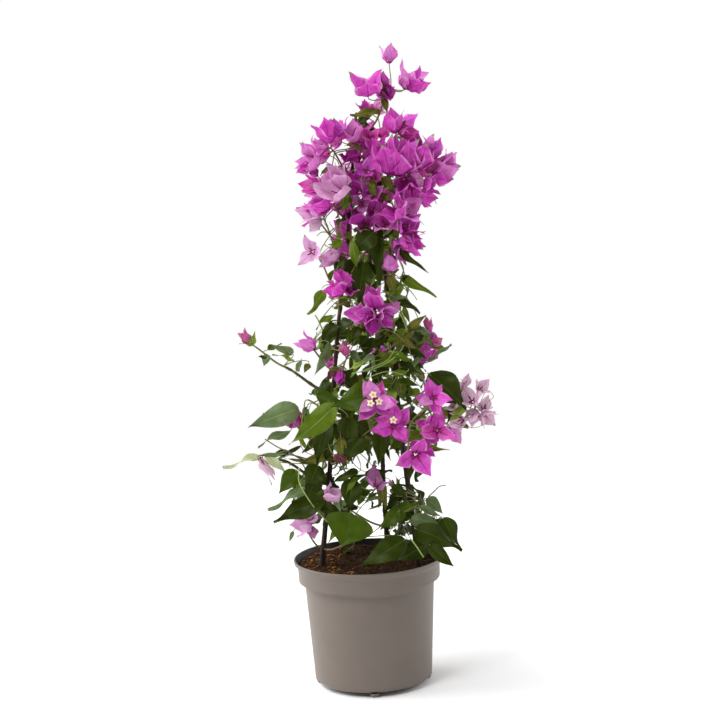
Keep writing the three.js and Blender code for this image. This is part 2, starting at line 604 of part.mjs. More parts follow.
// Grows every mass in its own space: a sprig that would leave its mass's reach, come within the
// clearance of a limb, the pot, the soil or another mass, or not join well, is left out.
function growMasses(fixed) {
  const withBox = (solid) => ({ solid, box: solid.boundingBox() });
  const walls = fixed.map(withBox);
  const grown = masses.map((mass, number) => {
    const { stem, sprigs, middle } = sprigsOf(mass, number + 1);
    return { mass, sprigs, middle, taken: [withBox(stem)], whole: stem, tidy: stem };
  });
  const isClear = (owner, probe) => {
    const box = probe.boundingBox();
    const touches = (wall) => boxesMeet(box, wall.box) && !probe.intersect(wall.solid).isEmpty();
    return !walls.some(touches)
      && !grown.some((other) => other !== owner && other.taken.some(touches));
  };
  const isWithin = (owner, probe) => {
    const { min, max } = probe.boundingBox();
    const middle = point(min).add(point(max)).multiplyScalar(0.5);
    return owner.middle.distanceTo(middle) < owner.mass.reach;
  };
  const grow = (owner, sprig) => {
    const probes = sprig.parts.map((part) => part(clearance * 2));
    if (!probes.every((probe) => isWithin(owner, probe) && isClear(owner, probe))) {
      return;
    }
    const parts = sprig.parts.map((part) => part(0));
    const whole = wasm.Manifold.union([owner.whole, ...parts]);
    const tidy = whole.asOriginal().simplify(finestDetail);
    if (isSound(tidy)) {
      owner.taken.push(...parts.map(withBox));
      Object.assign(owner, { whole, tidy });
    }
  };
  for (const layer of [0, 1, 2]) {
    for (const owner of grown) {
      owner.sprigs.filter((sprig) => sprig.layer === layer).forEach((sprig) => grow(owner, sprig));
    }
  }
  return grown;
}

const plant = new THREE.Group();

function addNode(name, solid, look) {
  const mesh = new THREE.Mesh(geometryOf(solid), look);
  mesh.name = name;
  plant.add(mesh);
}

const potSolid = makePot();
const soilSolid = makeSoil();
addNode("pot", potSolid, material(colours.pot, 0.5));
addNode("soil", soilSolid, material(colours.soil, 0.95));

for (const stem of stems) {
  addNode(stem.name, addStem(stem), material(colours.stem, 0.85));
}
for (const bough of boughs) {
  addNode(bough.name, addBough(bough), material(colours.bough, 0.7));
}

const limbSolids = [...limbs.values()].map((limb) => limb.solid);
for (const { mass, tidy } of growMasses([potSolid, soilSolid, ...limbSolids])) {
  const colour = mass.blooms > 0 ? colours.blossom : colours.leaves;
  addNode(mass.name, tidy, material(colour, 0.6));
}

export default plant;
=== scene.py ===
import math
import bmesh
import bpy
import numpy as np
from mathutils import Matrix, Vector, noise


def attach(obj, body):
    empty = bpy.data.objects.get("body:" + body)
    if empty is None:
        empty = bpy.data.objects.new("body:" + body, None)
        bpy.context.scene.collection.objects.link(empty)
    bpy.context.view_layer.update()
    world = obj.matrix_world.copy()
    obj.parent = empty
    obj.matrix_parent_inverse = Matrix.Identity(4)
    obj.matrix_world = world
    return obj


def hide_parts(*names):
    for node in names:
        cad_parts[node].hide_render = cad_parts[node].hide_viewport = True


# A bougainvillea bush in a plastic pot. Sizes are in millimetres, in the frame of the packed
# model, and turn into metres where a mesh is made. X is to the right, Y to the back, Z up.
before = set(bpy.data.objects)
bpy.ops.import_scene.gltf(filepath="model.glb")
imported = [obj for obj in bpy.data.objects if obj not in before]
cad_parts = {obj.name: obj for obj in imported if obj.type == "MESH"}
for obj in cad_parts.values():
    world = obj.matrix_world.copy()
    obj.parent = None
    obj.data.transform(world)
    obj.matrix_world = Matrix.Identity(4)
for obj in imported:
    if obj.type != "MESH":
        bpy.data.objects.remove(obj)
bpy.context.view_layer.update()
up = Vector((0, 0, 1))
print("frame loaded:", len(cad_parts), "nodes")

# The camera stands where the pot's rim and foot look as they do in the photograph.
viewpoint = {"place": (0.7, -1885, 618), "pitch": 7.5, "roll": 2.65, "lens": 85, "sensor": 36,
             "nearest": 0.05, "furthest": 50}  # these two in metres


def addToScene(name, data):
    thing = bpy.data.objects.new(name, data)
    bpy.context.scene.collection.objects.link(thing)
    return thing


def makeCamera(s):
    data = bpy.data.cameras.new("studioCamera")
    data.lens, data.sensor_width = s["lens"], s["sensor"]
    data.clip_start, data.clip_end = s["nearest"], s["furthest"]
    camera = addToScene("studioCamera", data)
    tilt = Matrix.Rotation(math.radians(90 - s["pitch"]), 4, "X")
    roll = Matrix.Rotation(math.radians(-s["roll"]), 4, "Z")
    camera.matrix_world = Matrix.Translation(Vector(s["place"]) / 1000) @ (tilt @ roll)
    bpy.context.scene.camera = camera


def hexToLinear(code):
    shares = [int(code[place:place + 2], 16) / 255 for place in (1, 3, 5)]
    return tuple(s / 12.92 if s <= 0.04045 else ((s + 0.055) / 1.055) ** 2.4 for s in shares) + (1.0,)


# Adds a shader node. In its settings a name in lower case is a property. Any other key is an
# input, which takes a number, a hex colour, or the output that it is linked to. A node given
# there stands for its first output in use.
def addNode(tree, kind, settings):
    node = tree.nodes.new("ShaderNode" + kind)
    properties = [key for key in settings if isinstance(key, str) and key[0].islower()]
    for key in properties:
        setattr(node, key, settings[key])
    for key in [key for key in settings if key not in properties]:
        value = settings[key]
        if isinstance(value, bpy.types.Node):
            value = next(output for output in value.outputs if output.enabled)
        if isinstance(value, bpy.types.NodeSocket):
            tree.links.new(value, node.inputs[key])
        else:
            node.inputs[key].default_value = hexToLinear(value) if isinstance(value, str) else value
    return node


# Makes a material whose surface comes from a function of its tree, each point's place and values.
def makeMaterial(name, surface, *values):
    material = bpy.data.materials.new(name)
    material.use_nodes = True
    tree = material.node_tree
    tree.nodes.clear()
    place = addNode(tree, "TexCoord", {}).outputs["Object"]
    addNode(tree, "OutputMaterial", {"Surface": surface(tree, place, *values)})
    return material


# Patches of a width in mm: the noise that makes them, and a tint that goes from one tone to the
# other, or a share of the way, as the noise goes from low to high.
def mottled(tree, place, width, detail, roughness, low, high, one, other, most=1.0):
    patches = addNode(tree, "TexNoise", {"Scale": 1000 / width, "Detail": detail, "Roughness": roughness,
                                         "Vector": place})
    share = addNode(tree, "MapRange", {"From Min": low, "From Max": high, "To Max": most, "Value": patches})
    return patches, addNode(tree, "Mix", {"data_type": "RGBA", 0: share, 6: one, 7: other})


# A tinted surface that isn't metal, with fine relief: its strength, depth in mm and height.
def reliefSurface(tree, tint, roughness, ior, specular, strength, depth, height):
    relief = addNode(tree, "Bump", {"Strength": strength, "Distance": depth / 1000, "Height": height})
    return addNode(tree, "BsdfPrincipled", {"Base Color": tint, "Roughness": roughness, "IOR": ior,
                   "Metallic": 0.0, "Specular IOR Level": specular, "Normal": relief})


# A thin living sheet: a skin of fine cells with a width in mm, and light that passes through it.
def thinSheet(tree, place, tint, cell, roughness, specular, strength, depth, glow, glowShare):
    cells = addNode(tree, "TexVoronoi", {"feature": "DISTANCE_TO_EDGE", "Scale": 1000 / cell,
                                         "Vector": place})
    skin = reliefSurface(tree, tint, roughness, 1.4, specular, strength, depth, cells)
    through = addNode(tree, "BsdfTranslucent", {"Color": glow})
    return addNode(tree, "MixShader", {0: glowShare, 1: skin, 2: through})


# A heap gathers the faces of many small parts, each with its finish, for one joined mesh.
def newHeap():
    return {"points": [], "quads": [], "finishes": [], "count": 0}


# Adds a sheet of points, given in rows. A closed one joins its last column to its first.
def addSheet(heap, points, finish, closed=False):
    rows, columns = points.shape[:2]
    spans = columns if closed else columns - 1
    row = np.arange(rows - 1)[:, None] * columns
    left = np.arange(spans)[None, :]
    right = (left + 1) % columns
    quads = np.stack([row + left, row + right, row + columns + right, row + columns + left], -1)
    heap["quads"].append(quads.reshape(-1, 4) + heap["count"])
    heap["finishes"].append(np.broadcast_to(finish, (rows - 1, spans)).reshape(-1))
    heap["points"].append(points.reshape(-1, 3))
    heap["count"] += rows * columns


def makeObject(name, heap, materials, replaced):
    mesh = bpy.data.meshes.new(name)
    points = np.concatenate(heap["points"]) / 1000
    quads = np.concatenate(heap["quads"])
    mesh.from_pydata(points.tolist(), [], quads.tolist())
    for material in materials:
        mesh.materials.append(material)
    finishes = np.concatenate(heap["finishes"]).astype(np.int32)
    mesh.polygons.foreach_set("material_index", finishes)
    mesh.polygons.foreach_set("use_smooth", np.ones(len(quads), dtype=bool))
    mesh.update()
    piece = addToScene(name, mesh)
    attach(piece, "root")
    if replaced:
        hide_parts(*replaced)
    print(name, "made:", 2 * len(quads), "triangles")
    return piece


# Rings along a path of points, each turned on from the last so that the tube doesn't twist.
def tubeRings(path, radii, sides):
    path = np.array(path, dtype=float)
    ways = np.gradient(path, axis=0)
    ways /= np.linalg.norm(ways, axis=1)[:, None]
    across = np.cross(ways[0], (0.31, 0.17, 0.93) if abs(ways[0][2]) < 0.9 else (1, 0.2, 0))
    turns = np.linspace(0, 2 * np.pi, sides, endpoint=False)
    rings = []
    for place, way, radius in zip(path, ways, radii):
        across = across - way * across.dot(way)
        across /= np.linalg.norm(across)
        beside = np.cross(way, across)
        ring = np.outer(np.cos(turns), across) + np.outer(np.sin(turns), beside)
        rings.append(place + radius * ring)
    return np.array(rings)


def addTube(heap, path, radii, sides, finish):
    addSheet(heap, tubeRings(path, radii, sides), finish, closed=True)


def bezier(places, share):
    rest = 1 - share
    a, b, c, d = places
    return a * rest ** 3 + b * (3 * rest * rest * share) + c * (3 * rest * share * share) + d * share ** 3


def bezierPath(places, steps):
    return [bezier(places, step / steps) for step in range(steps + 1)]


def mixed(one, other, share):
    return one + (other - one) * share


# The pot is turned from one outline: a rounded lip over a plain band, then a tapered body.
potShape = {
    "rimRadius": 85, "bandRadius": 80.2, "height": 145.6, "bandHeight": 25, "lipHeight": 9,
    "lipRound": 1.1, "bandLean": 0.5, "ledgeHeight": 2, "neckRadius": 73.8, "baseRadius": 66.9,
    "cornerRadius": 6, "neckRound": 1.2, "bandRound": 1.3, "wall": 2, "footHeight": 4.8,
    "footTop": 6.1, "footSole": 4.8, "footCircle": 60, "feet": 4, "padRadius": 12, "drains": 6,
    "drainRadius": 4, "drainCircle": 36, "drainTurn": -60, "sides": 160,
    "colour": "#6f645b", "worn": "#82786f", "shade": "#645a52",
    # the inside of the pot is near black: painted shade where the lip hides the light
    "soiled": "#1d1713", "soiledShade": "#15100d",
    "flowWidth": 26,   # mm across a soft flow mark
    "skinGrain": 0.9,  # mm across one dimple of the moulded skin; a real one is half of this
    "scuffWidth": 1.6,
}


# Polypropylene, injection moulded: satin skin with faint flow marks and small pale scuffs.
def mouldedPolypropylene(tree, place, look, colour, shade):
    flow, tint = mottled(tree, place, look["flowWidth"], 2.0, 0.45, 0, 1, shade, colour)
    stretched = addNode(tree, "Mapping", {"Scale": (1.0, 1.0, 0.22), "Vector": place})
    _, skin = mottled(tree, stretched, look["scuffWidth"], 4.0, 0.7, 0.62, 0.78, tint, look["worn"], 0.35)
    grain = addNode(tree, "TexNoise", {"Scale": 1000 / look["skinGrain"], "Detail": 2.0, "Vector": place})
    gloss = addNode(tree, "MapRange", {"To Min": 0.4, "To Max": 0.54, "Value": flow})
    return reliefSurface(tree, skin, gloss, 1.49, 0.5, 0.12, 0.2, grain)


def arcPoints(middle, radius, start, end, steps):
    turns = [math.radians(start + (end - start) * step / steps) for step in range(steps + 1)]
    return [(middle[0] + radius * math.cos(t), middle[1] + radius * math.sin(t)) for t in turns]


# The outline from the middle of the base, up the outside, over the lip and down the inside.
def potOutline(s):
    base, top, wall = s["footHeight"], s["height"], s["wall"]
    bandFoot, lipFoot = top - s["bandHeight"], top - s["lipHeight"]
    lipRadius = s["bandRadius"] + s["bandLean"]
    corner = (s["baseRadius"] - s["cornerRadius"], base + s["cornerRadius"])
    neckRound, bandRound, lipRound = s["neckRound"], s["bandRound"], s["lipRound"]
    outside = [(radius, base) for radius in (1, 20, 40, 56)]
    outside += arcPoints(corner, s["cornerRadius"], -90, 0, 8)
    bodyFoot = outside[-1][1]
    rise = bandFoot - neckRound - bodyFoot
    outside += [(mixed(s["baseRadius"], s["neckRadius"] - 0.2, share), bodyFoot + rise * share)
                for share in (0.04, 0.2, 0.4, 0.6, 0.8, 0.96, 1)]
    outside += arcPoints((s["neckRadius"] + 1.1, bandFoot - neckRound), neckRound, 180, 90, 4)
    outside += arcPoints((s["bandRadius"] - bandRound, bandFoot + bandRound), bandRound, -90, 0, 5)
    outside += [(s["bandRadius"] + 0.05, bandFoot + 3), (lipRadius - 0.15, lipFoot - 3),
                (lipRadius, lipFoot - 0.8), (lipRadius + 0.25, lipFoot)]
    outside += [(mixed(lipRadius, s["rimRadius"], share ** 1.35), lipFoot + 5.2 * share)
                for share in (0.2, 0.45, 0.7, 0.9)]
    lip = arcPoints((s["rimRadius"] - lipRound, top - lipRound), lipRound, -25, 165, 12)
    innerLip = lipRadius - wall
    inside = [(innerLip + 1.4, lipFoot + 3.4), (innerLip, lipFoot), (innerLip - 0.2, lipFoot - 2),
              (s["bandRadius"] - wall, bandFoot + s["ledgeHeight"] + wall),
              (s["neckRadius"] - wall, bandFoot)]
    innerCorner = arcPoints(corner, s["cornerRadius"] - wall, 0, -90, 5)
    floor = [(radius, base + wall) for radius in (40, 20, 1)]
    return outside + lip + inside + innerCorner + floor, len(outside) + len(lip)


def turnedSheet(outline, sides):
    turns = np.linspace(0, 2 * np.pi, sides, endpoint=False)
    return np.array([[(r * math.cos(t), r * math.sin(t), z) for t in turns] for r, z in outline])


def onCircle(radius, degrees):
    turn = math.radians(degrees)
    return Vector((math.cos(turn), math.sin(turn), 0)) * radius


def makePot(s):
    heap = newHeap()
    outline, lipEnd = potOutline(s)
    outline.append(outline[0])
    # from the inner side of the lip down the inside wall to the inner floor, faces take the second,
    # near-black skin: painted shade inside the pot
    finishes = np.array([[1 if row >= lipEnd - 2 else 0] for row in range(len(outline) - 1)])
    addSheet(heap, turnedSheet(outline, s["sides"]), finishes, closed=True)
    base, sole, pad = s["footHeight"], s["footSole"], s["padRadius"]
    rings = [(0.05, 0), (sole - 0.5, 0), (sole, 0.5), (s["footTop"], base - 0.4),
             (s["footTop"] + 0.7, base + 0.3)]
    for number in range(s["feet"]):  # small tapered feet; the first is at the front
        middle = onCircle(s["footCircle"], -90 + 360 / s["feet"] * number)
        addSheet(heap, turnedSheet(rings, 24) + np.array(middle), 0, closed=True)
    rings = [(0.05, 0), (pad - 1, 0), (pad - 0.4, 0.3), (pad, 0.9), (pad, base - 0.6),
             (pad + 0.8, base + 0.2)]
    addSheet(heap, turnedSheet(rings, 48), 0, closed=True)
    # the second skin is the painted shade of the pot's inside
    skins = [makeMaterial("mouldedPolypropylene", mouldedPolypropylene, s, s["colour"], s["shade"]),
             makeMaterial("paintedShadePolypropylene", mouldedPolypropylene, s, s["soiled"], s["soiledShade"])]
    openDrains(makeObject("mouldedPot", heap, skins, ["pot"]), s)


# Drainage holes, cut through the base.
def openDrains(piece, s):
    cutter = bmesh.new()
    radius = s["drainRadius"] / 1000
    for number in range(s["drains"]):
        middle = onCircle(s["drainCircle"] / 1000, s["drainTurn"] + 360 / s["drains"] * number)
        bmesh.ops.create_cone(cutter, cap_ends=True, segments=24, radius1=radius, radius2=radius,
                              depth=0.03, matrix=Matrix.Translation(middle + up * s["footHeight"] / 1000))
    mesh = bpy.data.meshes.new("drainCutter")
    cutter.to_mesh(mesh)
    cutter.free()
    tool = addToScene("drainCutter", mesh)
    cut = piece.modifiers.new("drains", "BOOLEAN")
    cut.object, cut.operation, cut.solver = tool, "DIFFERENCE", "EXACT"
    bpy.context.view_layer.update()
    opened = bpy.data.meshes.new_from_object(piece.evaluated_get(bpy.context.evaluated_depsgraph_get()))
    piece.modifiers.clear()
    piece.data = opened
    bpy.data.objects.remove(tool)
    print("drains opened:", len(opened.polygons), "faces")


# Moist compost heaped a little at the middle, with bark chips, straw and green bits on it.
soilShape = {
    "radius": 77.9, "top": 135.4, "edgeDrop": 1.4, "edgeWidth": 12, "lump": 1.5, "lumpWidth": 9,
    "rings": 44, "spokes": 180,
    "heapBack": 7.5, "heapWay": (-0.65, 0.75),  # the heap rises towards the back left of the pot
    # the ball under the surface: radius and height of each ring, down to the pot's floor
    "ball": ((77.9, 126), (71.4, 119.8), (64.9, 12), (60, 7.3), (0.4, 7.3)),
    "peat": "#231509", "peatLight": "#402810", "chip": "#845330", "chipDark": "#523220",
    "fresh": "#b06c2e", "straw": "#b59a6c", "moss": "#8a9433", "mossDark": "#5d6a20",
    # name, dark and light colour, grain and relief in mm
    "finishes": [("peatCompost", "peat", "peatLight", 2.4, 0.7),
                 ("pineBarkChip", "chipDark", "chip", 1.8, 0.4),
                 ("weatheredBarkChip", "peat", "chipDark", 1.8, 0.4),
                 ("driedStraw", "chip", "straw", 1.5, 0.2),
                 ("mossBit", "mossDark", "moss", 1.2, 0.3),
                 ("freshBarkChip", "chip", "fresh", 1.8, 0.4)],
    # loose bits: count, least and most mm, width and thickness as shares, lift, and finish
    "crumbs": (900, 0.9, 2.4, 1, 0.8, 0.45, 0), "chips": (190, 2.0, 5.4, 0.55, 0.3, 0.5, 1),
    "straws": (60, 4, 11, 0.09, 0.07, 0.35, 3), "greens": (40, 1.0, 2.6, 0.8, 0.5, 0.5, 4),
    "freshChips": (70, 2.2, 6.0, 0.6, 0.35, 0.5, 5),
    "bitOutline": ((0.02, -1), (0.75, -0.62), (1, 0), (0.7, 0.6), (0.02, 0.95)), "bitLumps": 0.45,
    "margin": 3.5,       # mm that the bits keep from the edge
    "smallness": 1.6,    # a higher value gives more small bits among the large
    "tilts": (0.7, 0.9),
    "unweathered": 0.6,  # share of the bark chips; the rest are weathered
    # moss and fresh chips lie at the left, where it stays moist: radii and turns
    "moistRing": (36, 36), "moistTurn": (140, 105),
}


# Broken plant matter, matt and uneven: compost, bark chips, straw or moss by its colours.
def looseMatter(tree, place, dark, light, grain, relief):
    spots, tint = mottled(tree, place, grain, 5.0, 0.68, 0.34, 0.68, dark, light)
    return reliefSurface(tree, tint, 0.92, 1.45, 0.15, 0.8, relief, spots)


def soilHeight(x, y, s):
    radius = math.hypot(x, y)
    lump = noise.fractal(Vector((x, y, 3.1)) / s["lumpWidth"], 0.8, 2.1, 4)
    edge = max(0.0, (radius - s["radius"] + s["edgeWidth"]) / s["edgeWidth"])
    heap = s["heapBack"] * max(0.0, (s["heapWay"][1] * y + s["heapWay"][0] * x) / s["radius"])
    return s["top"] + s["lump"] * lump + heap - s["edgeDrop"] * edge ** 2


# A loose bit is a six-sided pebble with lumps.
def addBit(heap, place, size, turn, finish):
    points = turnedSheet(soilShape["bitOutline"], 6)
    shape = np.array([[noise.noise(Vector(p) * 1.7 + Vector(place) * 0.13) for p in row] for row in points])
    points = points * (1 + soilShape["bitLumps"] * shape[:, :, None]) * np.array(size)
    addSheet(heap, points @ np.array(turn.to_3x3()).T + np.array(place), finish, closed=True)


def makeSoil(s):
    heap = newHeap()
    turns = np.linspace(0, 2 * np.pi, s["spokes"], endpoint=False)
    radii = [0.4] + [s["radius"] * ((ring + 1) / s["rings"]) ** 0.85 for ring in range(s["rings"])]
    rows = [[(r * math.cos(t), r * math.sin(t), soilHeight(r * math.cos(t), r * math.sin(t), s))
             for t in turns] for r in radii]
    rows += [[(r * math.cos(t), r * math.sin(t), height) for t in turns] for r, height in s["ball"]]
    addSheet(heap, np.array(rows), 0, closed=True)
    draw = np.random.default_rng(41)
    for kind in ("crumbs", "chips", "straws", "greens", "freshChips"):
        count, least, most, wide, thick, lift, finish = s[kind]
        for number in range(count):
            radius = (s["radius"] - s["margin"]) * math.sqrt(draw.random())
            turn = draw.random() * 2 * math.pi
            if kind in ("greens", "freshChips"):
                radius = s["moistRing"][0] + s["moistRing"][1] * draw.random()
                turn = math.radians(s["moistTurn"][0] + s["moistTurn"][1] * draw.random())
            size = least + (most - least) * draw.random() ** s["smallness"]
            x, y = radius * math.cos(turn), radius * math.sin(turn)
            tilt = (Matrix.Rotation(draw.random() * 2 * math.pi, 4, "Z")
                    @ Matrix.Rotation((draw.random() - 0.5) * s["tilts"][0], 4, "Y")
                    @ Matrix.Rotation((draw.random() - 0.5) * s["tilts"][1], 4, "X"))
            if kind == "chips":
                finish = 1 if draw.random() < s["unweathered"] else 2
            half = size / 2
            place = (x, y, soilHeight(x, y, s) + half * thick * lift)
            addBit(heap, place, (half, half * wide, half * thick), tilt, finish)
    materials = [makeMaterial(name, looseMatter, s[dark], s[light], grain, relief)
                 for name, dark, light, grain, relief in s["finishes"]]
    makeObject("compost", heap, materials, ["soil"])


# The limbs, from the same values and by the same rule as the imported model's.
limbRule = {"soilTop": 132, "seatGap": 0.3, "stemFlare": 2.6, "flareHeight": 9, "stemWander": 2.2,
            "boughThick": 1.9, "boughThin": 1.3, "twigThick": 1.25, "twigThin": 0.9, "stemArch": 0.08,
            "overlap": 1.2}  # mm that a growth starts inside the limb that carries it
stems = [
    # name, foot, top, thick, thin, bend
    ("stem_left", (-54, -8), (9, 1, 644), 3, 1.6, 0.4),
    ("stem_right", (56, -27), (17, -3, 656), 3.1, 1.6, 2.3),
    ("stem_back", (23, 50), (17, 12, 636), 2.8, 1.5, 4.1),
]
boughs = [
    # name, carrier, height on it, tip, arch
    ("bough_upper_right", "stem_right", 505, (70, -8, 545), 0.1),
    ("bough_far_left", "stem_left", 335, (-84, -12, 368), 0.05),
    ("bough_right", "stem_right", 292, (92, -22, 330), 0.2),
    ("bough_low_left", "stem_left", 232, (-98, -20, 264), 0.2),
    ("bough_back_upper", "stem_back", 500, (46, 38, 534), 0.1),
    ("bough_back_low_left", "stem_back", 272, (-30, 56, 300), 0.15),
    ("bough_back_low_right", "stem_back", 262, (52, 58, 286), 0.15),
]
limbs = {}


def chance(seed, number):
    wave = math.sin(seed * 12.9898 + number * 78.233) * 43758.5453
    return wave - math.floor(wave)


def stemLimb(foot, top, thick, thin, bend):
    start = Vector((*foot, limbRule["soilTop"] + limbRule["seatGap"]))
    head = Vector(top)
    length = head.z - limbRule["soilTop"]

    def place(share):
        swing = limbRule["stemWander"] * math.sin(math.pi * share)
        spot = start.lerp(head, share)
        spot.x += swing * math.sin(9 * share + bend)
        spot.y += swing * math.cos(7 * share + bend)
        return spot

    def radius(share):
        flare = limbRule["stemFlare"] * math.exp(-share * length / limbRule["flareHeight"])
        return mixed(thick, thin, share) + flare

    return {"place": place, "radius": radius, "foot": start.z, "length": length, "tip": None}


def archedLimb(start, leave, end, arch, thick, thin):
    length = (end - start).length
    places = [start, start + leave * (0.3 * length), start.lerp(end, 0.7) + up * (arch * length), end]
    return {"place": lambda share: bezier(places, share), "radius": lambda share: mixed(thick, thin, share),
            "length": length, "tip": end}


def wayAt(limb, share):
    one, other = max(0.0, share - 0.001), min(1.0, share + 0.001)
    return (limb["place"](other) - limb["place"](one)).normalized()


# Where a growth towards a place leaves a limb: on from a bough's tip, or square to a stem.
def leaving(carrier, height, towards):
    limb = limbs[carrier]
    if limb["tip"]:
        leave = wayAt(limb, 1)
        return limb["tip"] + leave * limbRule["seatGap"], leave
    share = (height - limb["foot"]) / limb["length"]
    axis, way = limb["place"](share), wayAt(limb, share)
    leave = towards - axis
    leave = (leave - way * leave.dot(way)).normalized()
    return axis + leave * (limb["radius"](share) + limbRule["seatGap"]), leave


barkLook = {
    "ridgeWidth": 1.7, "ridgeStretch": 0.18,  # mm across a ridge, and how slowly it changes along
    "lumpWidth": 4.5, "lumpShare": 0.25,
    "nodeEvery": 27, "nodeLength": 2.2, "nodeSwell": 0.55,
    "patchWidth": 24, "freckleEvery": 3.2,
    "paintedShadeFoot": (0.56, 0.3),  # heights in metres between which painted shade darkens a limb towards its foot
    "dark": "#241a12", "mid": "#5c4229", "pale": "#8a6c48", "lichen": "#7d745c",
    "shootDark": "#4c4a22", "shoot": "#6f7434", "shootBrown": "#6d5230",
    # sides of a ring, mm between rings, ridge in mm, thorns on each limb and their length
    "stem": (26, 1.6, 0.3, 9, 4.6), "bough": (16, 1.2, 0.12, 2, 3.4),
    "thorn": (0.75, 0.5, 0.38, 0.27, 0.16, 0.03),  # radii from its root to its tip
    "thornsFrom": 0.06, "thornStep": 0.1,  # shares of a stem's length
}


# Young woody stems, furrowed along their length: brown cork with paler ridges and grey spots, and painted
# shade that darkens them towards the foot.
def corkBark(tree, place, dark, mid, pale, spots):
    stretched = addNode(tree, "Mapping", {"Scale": (1.0, 1.0, 0.16), "Vector": place})
    furrows, wood = mottled(tree, stretched, barkLook["ridgeWidth"], 5.0, 0.62, 0.36, 0.66, dark, mid)
    _, tint = mottled(tree, place, barkLook["patchWidth"], 3.0, 0.5, 0.48, 0.72, wood, pale, 0.7)
    height = addNode(tree, "SeparateXYZ", {"Vector": place}).outputs["Z"]
    freckles = addNode(tree, "TexVoronoi", {"Scale": 1000 / barkLook["freckleEvery"], "Vector": place})
    # painted shade darkens the bark down towards the foot; grey lichen freckles then lie over it
    for measure, start, end, most, tone in ((height, *barkLook["paintedShadeFoot"], 0.85, dark),
                                            (freckles, 0.16, 0.1, 0.5, spots)):
        share = addNode(tree, "MapRange", {"From Min": start, "From Max": end, "To Max": most,
                                           "Value": measure})
        tint = addNode(tree, "Mix", {"data_type": "RGBA", 0: share, 6: tint, 7: tone})
    return reliefSurface(tree, tint, 0.84, 1.45, 0.5, 0.7, 0.4, furrows)


# A limb's bark in relief: furrows that run along it, and a swelling where each leaf stood.
def addBark(heap, limb, sides, step, ridge, startShare=0.0):
    count = int(limb["length"] / step)
    shares = [startShare + (1 - startShare) * n / count for n in range(count + 1)]
    path = [limb["place"](share) for share in shares]
    radii = [limb["radius"](max(0.0, share)) for share in shares]
    radii[-2] *= 0.8
    radii[-1] *= 0.1
    rings = tubeRings(path, radii, sides)
    for number, (share, centre) in enumerate(zip(shares, path)):
        phase = share * limb["length"] / barkLook["nodeEvery"]
        fromNode = (phase - round(phase)) * barkLook["nodeEvery"]
        swell = barkLook["nodeSwell"] * math.exp(-(fromNode / barkLook["nodeLength"]) ** 2)
        for corner in range(sides):
            point = rings[number, corner]
            out = point - np.array(centre)
            reach = np.linalg.norm(out)
            spot = Vector((point[0], point[1], point[2] * barkLook["ridgeStretch"]))
            lift = ridge * (1 - 2 * abs(noise.noise(spot / barkLook["ridgeWidth"])))
            lump = barkLook["lumpShare"] * ridge * noise.noise(Vector(point) / barkLook["lumpWidth"])
            side = 1 + 0.5 * math.cos(2 * math.pi * corner / sides + round(phase) * 2.4)
            point += out / max(reach, 1e-6) * (lift - ridge * 0.5 + lump + swell * side * 0.6)
    addSheet(heap, rings, 0, closed=True)


def addThorn(heap, limb, share, turn, length):
    way = wayAt(limb, share)
    out = Vector((math.cos(turn), math.sin(turn), 0.0))
    out = (out - way * out.dot(way)).normalized()
    root = limb["place"](share) + out * (limb["radius"](share) * 0.6)
    tip = root + out * length + way * (length * 0.35)
    places = [root, root + out * (0.5 * length), tip - way * (0.3 * length), tip]
    addTube(heap, bezierPath(places, 5), barkLook["thorn"], 7, 0)


def makeLimbs():
    stemHeap, boughHeap = newHeap(), newHeap()
    sides, step, ridge, thorns, thornLength = barkLook["stem"]
    for seed, (name, *shape) in enumerate(stems):
        limbs[name] = stemLimb(*shape)
        addBark(stemHeap, limbs[name], sides, step, ridge, -0.006)  # from just under the compost
        for number in range(thorns):
            share = barkLook["thornsFrom"]
            share += barkLook["thornStep"] * (number + 0.6 * chance(seed + 70, number))
            addThorn(stemHeap, limbs[name], share, 6.28 * chance(seed + 80, number), thornLength)
    sides, step, ridge, thorns, thornLength = barkLook["bough"]
    for name, carrier, height, tip, arch in boughs:
        start, leave = leaving(carrier, height, Vector(tip))
        limbs[name] = archedLimb(start - leave * limbRule["overlap"], leave, Vector(tip), arch,
                                 limbRule["boughThick"], limbRule["boughThin"])
        addBark(boughHeap, limbs[name], sides, step, ridge)
        for number in range(thorns):
            addThorn(boughHeap, limbs[name], 0.3 + 0.4 * number, 2.4 * number + len(name), thornLength)
    woody = [barkLook[tone] for tone in ("dark", "mid", "pale", "lichen")]
    green = [barkLook[tone] for tone in ("shootDark", "shoot", "shootBrown", "pale")]
    makeObject("woodyStems", stemHeap, [makeMaterial("corkedBark", corkBark, *woody)],
               [row[0] for row in stems])
    makeObject("greenBoughs", boughHeap, [makeMaterial("greenShootBark", corkBark, *green)],
               [row[0] for row in boughs])


